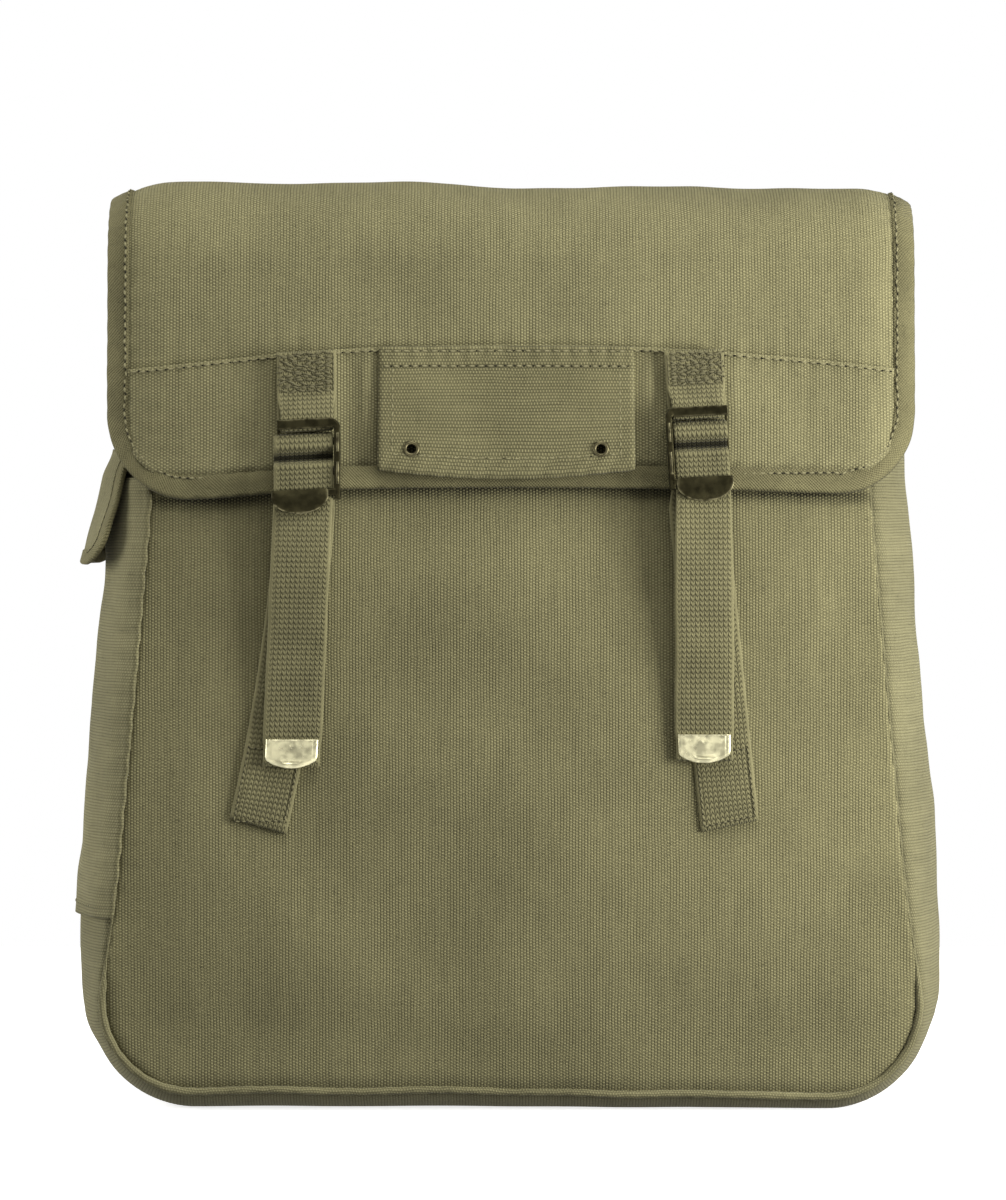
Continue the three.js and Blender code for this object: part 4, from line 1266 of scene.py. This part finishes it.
def makeChape(closure):
    back = gap + chapeWeb / 2
    front = back + chapeWeb + gap
    loopBack, loopFront = barDepth - chapeWrap, barDepth + chapeWrap
    full = web["width"] / 2
    length = chapeLength(closure)
    rows = []
    for share in steps(10, 1, 0.04):
        rise = 1 - smoothstep(share, 0.05, 0.42)
        half = lerp(full, webEdge, rise)
        rows.append((length * share, lerp(front, loopFront, rise), -half, half))
    for a in steps(12, 0, -math.pi):
        height, depth = pinHeight + chapeWrap * math.sin(a), barDepth + chapeWrap * math.cos(a)
        rows.append((height, depth, -webEdge, webEdge))
    for share in steps(8, 0.04, 0.94):
        rise = 1 - smoothstep(share, 0.02, 0.4)
        rows.append((length * share, lerp(back, loopBack, rise), -full, full))

    def tone(across, along):
        return slack(across, along, 9, 51.3, 0.3)

    bm = bmesh.new()
    addStrip(bm, frameRings(closure, rows, chapeWeb), tone=tone)
    return makePiece(bm, f"chape{closure['name']}", "web", [f"chape_{closure['node']}"])


def makeBuckle(closure):
    place, right, up, out = buckleFrame(closure)
    lip, plate, innerRail = metal["lipHeight"], metal["plate"], metal["innerRail"]
    outer = metal["railGap"] / 2 + metal["outerRail"] / 2
    lipFront = barDepth + chapeWrap + chapeWeb / 2 + gap + plate / 2
    railBack = loadDepth + web["thick"] / 2 + gap
    railFront = plateDepth + plate
    railMiddle = (railBack + railFront) / 2
    railU = -metal["railGap"] / 2 - innerRail / 2
    corner = metal["corner"]
    bm = bmesh.new()

    # The lip and the inner rail are one bent strip, rounded where it turns down.
    strip = []
    for u in steps(10, outer, railU + corner):
        strip.append((place(u, -lip / 2, lipFront), up, out, lip / 2, plate * 1.1))
    for a in steps(6, 0, math.pi / 2)[1:]:
        share = a / (math.pi / 2)
        across = (up * math.cos(a) - right * math.sin(a)).normalized()
        middle = (railU + corner - corner * math.sin(a), -lip / 2 - corner + corner * math.cos(a))
        depth = lerp(lipFront, railMiddle, share)
        thick = lerp(plate * 1.1, railFront - railBack, share)
        strip.append((place(*middle, depth), across, out, lerp(lip / 2, innerRail / 2, share), thick))
    for h in steps(10, -lip / 2 - corner - 1, thumbTop - metal["thumbSide"] - 1.4):
        strip.append((place(railU, h, railMiddle), -right, out, innerRail / 2, railFront - railBack))
    addStrip(bm, strip, 0.6, tone=lambda across, along: 0.25 * bell(abs(across), 1.8, 0.3))

    # Raised edges on the inner rail, with a notch between them.
    for low, high in metal["raised"]:
        heights = steps(4, high, low)
        strip = [(place(railU - 0.2, h, railFront + 0.25), -right, out, 0.55, 0.7) for h in heights]
        addStrip(bm, strip, tone=0.45)

    # The low outer rail beside the lip and beside the bars, then the pin and the two bars.
    lowDepth = frontDepth - webDip - web["thick"] / 2 - gap
    half = metal["outerRail"] / 2
    middle, thick = (railBack + lipFront) / 2 - 0.5, lipFront - railBack - 1
    addStrip(bm, [(place(outer, h, middle), right, out, half, thick) for h in steps(3, 0, -lip)], 0.6)
    middle, thick = (railBack + lowDepth) / 2, lowDepth - railBack
    heights = steps(6, -lip + 0.3, secondBar - 1.6)
    addStrip(bm, [(place(outer, h, middle), right, out, half, thick) for h in heights], 0.6)
    pin, bar = metal["pinRadius"], metal["barRadius"]
    for height, radius in ((pinHeight, pin), (firstBar, bar), (secondBar, bar)):
        rings = []
        for u in steps(2, railU, outer):
            rings.append([
                (place(u, height + radius * math.cos(a), barDepth + radius * math.sin(a)), radius * a)
                for a in steps(12, 0, 2 * math.pi)[:-1]
            ])
        addLoft(bm, rings)

    # The half-round thumb tab, slightly domed, with its bridge to the rail.
    middle = closure["spill"] * spillWidth
    half = metal["thumbWidth"] / 2
    face = plateDepth + plate / 2
    strip = []
    for t in steps(18):
        drop = t * metal["thumbHeight"]
        over = clamp((drop - metal["thumbSide"]) / (metal["thumbHeight"] - metal["thumbSide"]), 0, 0.995)
        reach = half * math.sqrt(1 - over**2) if over > 0 else half
        reach -= 0.5 * clamp(1 - drop / 0.5)
        dome = 0.9 * math.sin(math.pi * clamp(drop / metal["thumbHeight"])) - 0.5 * over
        strip.append((place(middle, thumbTop - drop, face + dome), right, out, max(reach, 0.7), plate))

    def tone(across, along):
        return 0.8 * smoothstep(math.hypot(across / half, max(0, along - 3) / 6.9), 0.94, 1.0)

    addStrip(bm, strip, 0.8, 26, tone)
    bridge = steps(3, railU, middle - half + 2)
    addStrip(bm, [(place(u, thumbTop - 1.6, face), up, out, 1.5, plate) for u in bridge])
    nodes = [f"buckle_{closure['node']}"]
    return makePiece(bm, f"buckle{closure['name']}", "black", nodes, sharp=50)


def onPanel(x, z, out):
    return Vector((x, frontFace(x, z) - out, z))


sewnOut = bag["canvas"] / 2 + 0.2 + web["thick"] / 2
behindBuckle = flapStandOff + layerOut + loadDepth
riseTop = flap["bottom"] - 8
towardFront = Vector((0, -1, 0))
towardBack = Vector((0, 1, 0))


def strapX(closure, z):
    foot, middle, x = closure["foot"], closure["middle"], closure["x"]
    share = (z - web["foot"]) / (flap["bottom"] - web["foot"])
    halfway = (web["middle"] - web["foot"]) / (flap["bottom"] - web["foot"])
    bend = (middle - lerp(foot, x, halfway)) / (halfway * (1 - halfway))
    return lerp(foot, x, share) + bend * share * (1 - share)


# Where a strap runs over the panel: its middle, the way along its width, and the way out.
def sewnPlace(closure, z, out=0.0):
    middle = strapX(closure, z)
    lean = (strapX(closure, z + 4) - strapX(closure, z - 4)) / 8
    across = Vector((1, 0, -lean * 0.6)).normalized() * closure["side"]
    depth = lerp(sewnOut, behindBuckle, smoothstep(z, web["middle"], riseTop)) + out
    return onPanel(middle, z, depth), across


def strapRings(closure):
    rings = []
    half = web["width"] / 2
    slant = closure["side"] * web["footSlant"] / web["width"]
    for z in steps(66, web["foot"], riseTop):
        centre, across = sewnPlace(closure, z)
        low = 1 - smoothstep(z, web["foot"], web["foot"] + 14)
        across = (across + Vector((0, 0, slant * low * closure["side"]))).normalized()
        rings.append((centre, across, towardBack, half, web["thick"]))
    outer = webEdge + closure["spill"] * spillWidth
    rows = [(lerp(secondBar, firstBar, t), loadDepth, -webEdge, webEdge) for t in steps(6, -0.2, 0.9)]
    for a in steps(18, math.pi, 0):
        wide = lerp(webEdge, outer, smoothstep(math.pi - a, 0.3 * math.pi, 0.7 * math.pi))
        rows.append((firstBar + webWrap * math.sin(a), barDepth + webWrap * math.cos(a), -webEdge, wide))
    for t in steps(22)[1:]:
        dip = 1.85 * webDip * math.exp(-(((t - 0.5) / 0.23) ** 4)) - 0.4 * math.sin(2 * math.pi * t) ** 2
        rows.append((lerp(firstBar, secondBar, t), frontDepth - dip, -webEdge, outer))
    rows += [(lerp(secondBar, thumbTop - 1, t), frontDepth - 0.4 * t, -webEdge, outer) for t in steps(6)[1:]]
    rings += frameRings(closure, rows, web["thick"])
    start = rings[-1][0]
    startHalf = rings[-1][3]
    startOut = frontFace(start.x, start.z) - start.y
    endOut = sewnOut + web["thick"] + 2 * gap + 0.6
    for t in steps(52)[1:]:
        z = start.z - t * closure["tail"]
        sway = slack(z, 0, 30, closure["side"] * 5, 0.5) * math.sin(math.pi * t)
        x = lerp(start.x, closure["tip"], t) + sway
        depth = lerp(startOut, endOut, smoothstep(t, 0, 0.9))
        reach = lerp(startHalf, half, clamp(3 * t)) - 0.5 * smoothstep(t, 0.9, 0.92)
        lean = 0.075 + slack(z, 3, 24, closure["side"] * 7, 0.05)
        lean *= math.sin(math.pi * min(1, t + 0.2)) ** 0.5
        tilt = Vector((closure["side"], lean if t < 0.8 else lean * 0.9, 0)).normalized()
        rings.append((onPanel(x, z, depth), tilt, towardFront, reach, web["thick"]))
    return rings


def makeStrap(closure):
    bm = bmesh.new()
    rows = strapRings(closure)
    place = buckleFrame(closure)[0]
    # Places of the painted shade: the dip between the ridges and just above the first ridge.
    folds = [
        place(0, (firstBar + secondBar) / 2, frontDepth - 1.5 * webDip),
        place(0, firstBar + webWrap + 1, frontDepth),
    ]
    near = [min(range(len(rows)), key=lambda i: (rows[i][0] - fold).length) for fold in folds]
    reach = [sum((b[0] - a[0]).length for a, b in zip(rows[:i], rows[1 : i + 1])) for i in near]

    def tone(across, along):
        # Painted shade in the dip between the two ridges and just above the first; the selvages a little
        # lighter.
        dipShade = bell(along, reach[0], 2.9) + 0.3 * bell(along, reach[1], 1.2)
        return slack(across, along, 16, 61.3, 0.18) + 0.06 * bell(abs(across), 12, 0.8) - dipShade

    addStrip(bm, rows, tone=tone)
    return makePiece(bm, f"strap{closure['name']}", "web", [f"strap_{closure['node']}"])


tip = {"width": 22.2, "height": 12, "wall": 0.6, "arc": 3.6}


def makeTip(closure):
    rows = strapRings(closure)
    end, right = rows[-1][:2]
    up = (rows[-4][0] - end).normalized()
    right = right * closure["side"]
    out = right.cross(up).normalized()
    half = tip["width"] / 2
    thick = web["thick"] + 2 * (0.2 + tip["wall"])
    floor = tip["wall"] + 0.3

    rings = []
    for t in steps(44):
        down = t * tip["height"]
        closing = clamp((t - 0.8) / 0.2)
        depth = thick * math.sqrt(1 - 0.9 * closing**2) * (1 - 0.15 * clamp(1 - t / 0.05))
        reach = half * (1 - 0.05 * closing**2)
        centre = end + up * (tip["height"] - floor - down)
        ring = []
        for point, across in flatRing(centre, right, out, reach, depth, 0.9, 40):
            u = across / half
            point = point + up * tip["arc"] * t * abs(u) ** 2.3
            if (point - centre).dot(out) > 0.2:
                dent = 0.55 * bell(across, 0, 0.7) * bell(down, 3.0, 0.7)
                dent += 0.6 * bell(down, 9.4, 0.5) * (1 - smoothstep(abs(across), 2.6, 4.6))
                dent += 0.3 * bell(abs(u), 0.82, 0.035) + slack(across, down, 3.2, 71.7, 0.22)
                point = point - out * dent
            ring.append((point, across))
        rings.append(ring)

    # Lighter at the side edges, a painted highlight just below the slit, and painted shade in the slit and
    # in the dent near the top.
    def tone(across, along):
        lip = 0.5 * smoothstep(abs(across) / half, 0.9, 1) + 0.5 * bell(along, 10.6, 0.7)
        slitShade = bell(along, 9.4, 0.45) * (1 - smoothstep(abs(across), 2.6, 4.4))
        return lip - 0.9 * slitShade - 0.7 * bell(across, 0, 0.6) * bell(along, 3, 0.6)

    bm = bmesh.new()
    addLoft(bm, rings, tone)
    nodes = [f"strap_tip_{closure['node']}"]
    return makePiece(bm, f"strapTip{closure['name']}", "pale", nodes, sharp=60)


for closure in closures:
    makeChape(closure)
    makeBuckle(closure)
    makeStrap(closure)
    makeTip(closure)
print("stage: straps and buckles")

# Side pocket

def onGusset(across, z, out):
    spot = {"x": -halfWidthAt(z), "z": z, "outX": -1, "outZ": 0, "under": 0}
    t = 0.5 + across / (2 * (halfDepthAt(z) - seamInset))
    point = gussetPoint(spot, t)
    along = gussetPoint(spot, t + 0.01) - gussetPoint(spot, t - 0.01)
    return point + Vector((-along.y, along.x, 0)).normalized() * out


pocketOut = bag["canvas"] + gap + pocket["standOff"]
pocketSeat = (bag["canvas"] + pocket["tapeThick"]) / 2 + gap


def makePocket():
    def place(s, t):
        z = lerp(pocket["bottom"], pocket["top"], t)
        front, rear = halfDepthAt(z) - pocket["seam"], pocket["depth"] / 2 + pocket["hug"]
        across = lerp(-front, rear, s)
        side = min(front + across, rear - across)
        edge = min(side, z - pocket["bottom"])
        rise = clamp(side / 9) ** 0.5
        ease = slack(across, z, 30, 81.1, 0.8) * clamp(edge / 15)
        # Random tone, and painted shade along the crease of the stitched seam.
        tone = slack(across, z, 30, 83.7, 0.12) - 0.08 * bell(edge, 4, 1.4)
        sewn = -0.15 if across < 0 else bag["canvas"] - 0.2
        return onGusset(across, z, lerp(sewn, pocketOut, rise) + ease), (z, across), tone

    bm = bmesh.new()
    addGrid(bm, 38, 90, place)
    return makePiece(bm, "sidePocket", "gusset", ["side_pocket"], wall=bag["canvas"])


def pocketFlapSurface(across, s):
    over = smoothstep(s, 0, pocket["flapTop"] - pocket["top"])
    lift = pocket["flapLift"] * clamp(s / pocket["flapHeight"], 0, 1.1) ** 1.5
    lift += slack(across, s, 20, 91.3, 1.4) * clamp(s / 30)
    return onGusset(across, pocket["flapTop"] - s, lerp(pocketSeat, pocketOut + pocketSeat, over) + lift)


def makePocketFlap():
    inset = pocket["tapeWidth"] - 1.4
    half = pocket["depth"] / 2 - inset
    length = pocket["flapHeight"] - inset
    radius = pocket["flapRadius"] - inset

    def place(s, t):
        down, reach = tongueRow(t, half, 0, length, radius)
        x = reach * (2 * s - 1)
        return pocketFlapSurface(x, down), (x, down), slack(x, down, 26, 93.1, 0.14)

    bm = bmesh.new()
    addGrid(bm, 34, 26, place)
    made = makePiece(bm, "pocketFlap", "gusset", ["side_pocket_flap"], wall=bag["canvas"])
    rings = tapeRings(
        pocketFlapSurface, pocket["depth"] / 2, pocket["flapHeight"], pocket["flapRadius"],
        pocket["tapeWidth"], pocket["tapeThick"], 1.8,
    )
    bm = bmesh.new()
    # Painted highlight along the tape's folded edge.
    addLoft(bm, rings, tone=lambda across, along: 0.16 * bell(abs(across), 0, 1.2))
    tape = makePiece(bm, "pocketTape", "tape", ["side_pocket_binding"])


makePocket()
makePocketFlap()
print("stage: side pocket")


# Stitching

def rowOn(surface, spots, out, facing=-1):
    row = []
    for x, s in spots:
        normal = surfaceNormal(surface, x, s) * facing
        row.append((surface(x, s) + normal * out, normal))
    return row


# Places round a tongue's edge at an inset from it.
def edgeSpots(half, length, radius, inset):
    inner = max(0.5, radius - inset)
    right = [(half - inset, s) for s in steps(round((length - radius) / 3), 0, length - radius)]
    right += [
        (half - radius + inner * math.cos(a), length - radius + inner * math.sin(a))
        for a in steps(12, 0, math.pi / 2)[1:]
    ]
    left = [(-x, s) for x, s in right]
    return right + left[::-1]


def makeStitches(name, rows, tones=seamTones):
    whole = bmesh.new()
    for i, (places, pitch, radius) in enumerate(rows):
        bm = bmesh.new()
        bm.verts.layers.float.new("tone")
        addStitchRow(bm, places, pitch, radius, i + 1, tones)
        row = bpy.data.meshes.new("row")
        bm.to_mesh(row)
        bm.free()
        whole.from_mesh(row)
        bpy.data.meshes.remove(row)
    return makePiece(whole, name, "thread")


def flapRows():
    tapeTop = flap["bindingThickness"] / 2
    rim = edgeSpots(flapHalf, flapLength, flap["cornerRadius"], flap["bindingWidth"] - 1.3)
    seam = [(x, layerEdge(x) + 1.7) for x in steps(150, -flapHalf + 11, flapHalf - 11)]
    seamOut = bag["canvas"] * 1.5 + 0.32
    hems = [[(x, s) for x in steps(120, -flapHalf + 12, flapHalf - 12)] for s in (4, 12)]
    return [
        (rowOn(flapSurface, rim, tapeTop), 3.4, 0.44),
        (rowOn(flapSurface, seam, seamOut), 3.9, 0.46),
    ] + [(rowOn(flapSurface, hem, bag["canvas"] / 2), 3.6, 0.4) for hem in hems]


def tabRows():
    half = tab["width"] / 2
    top = tab["thick"] / 2 - 0.05
    upper = [(x, 1.6) for x in steps(40, -half + 1, half - 1)]
    second = [(x, 8.0) for x in steps(40, -half + 1, half - 1)]
    rim = [(half - 5.5, s) for s in steps(12, 10, tab["height"] - 7)]
    rim += [(x, tab["height"] - 6.5) for x in steps(36, half - 5.5, -half + 5.5)]
    rim += [(-half + 5.5, s) for s in steps(12, tab["height"] - 7, 10)]
    return [
        (rowOn(tabSurface, upper, top - 0.1), 3.9, 0.44),
        (rowOn(tabSurface, second, top - 0.05), 3.9, 0.48),
        (rowOn(tabSurface, rim, top - 0.15), 3.6, 0.32),
    ]


def chapeRows(closure):
    place, _, _, out = buckleFrame(closure)
    rng = random.Random(17)
    length = chapeLength(closure)
    depth = gap * 2 + chapeWeb * 2 + 0.05
    rows = []
    for h in steps(11, length - 1.4, length * 0.42):
        points = [(place(u, h + rng.uniform(-0.7, 0.7), depth), out) for u in steps(9, -10.6, 10.6)]
        rows.append((points, rng.uniform(3.0, 4.2), 0.46))
    for u in (-11, 11):
        points = [(place(u, h, depth), out) for h in steps(8, length - 1, length * 0.4)]
        rows.append((points, 2.6, 0.3))
    return rows


def footRows(closure):
    half = web["width"] / 2
    low, high = web["foot"] + 2, web["foot"] + 31

    def spot(u, z):
        centre, across = sewnPlace(closure, z, web["thick"] / 2)
        slant = closure["side"] * u * web["footSlant"] / web["width"] * (1 - smoothstep(z, low, low + 12))
        return centre + across * u + Vector((0, 0, slant)), towardFront

    bottom = [spot(u, low) for u in steps(8, -half + 1.5, half - 1.5)]
    top = [spot(u, high) for u in steps(8, -half + 1.5, half - 1.5)]
    left = [spot(-half + 1.7, z) for z in steps(12, low, high)]
    right = [spot(half - 1.7, z) for z in steps(12, low, high)]
    return [(row, 2.6, 0.36) for row in (bottom, top, left, right)]


def pocketRows():
    half = pocket["depth"] / 2 + 3

    def spot(across, z):
        point = onGusset(across, z, pocketOut + bag["canvas"] / 2)
        return point, (point - onGusset(across, z, 0)).normalized()

    sides = [spot(u, pocket["bottom"] + 4.5) for u in steps(24, -half, half)]
    sides += [spot(half, z) for z in steps(60, pocket["bottom"] + 4.5, pocket["top"] - 2)]
    inset = pocket["tapeWidth"] - 1.2
    rim = edgeSpots(pocket["depth"] / 2, pocket["flapHeight"], pocket["flapRadius"], inset)
    return [(sides, 3.4, 0.24), (rowOn(pocketFlapSurface, rim, pocket["tapeThick"] / 2, 1), 3.2, 0.32)]


makeStitches("flapStitches", flapRows())
makeStitches("tabStitches", tabRows())
patches = [row for closure in closures for row in chapeRows(closure)]
makeStitches("chapeStitches", patches, patchTones)
feet = [row for closure in closures for row in footRows(closure)]
makeStitches("strapStitches", feet, footTones)
makeStitches("pocketStitches", pocketRows())
print("stage: stitches")

print("stage: done")
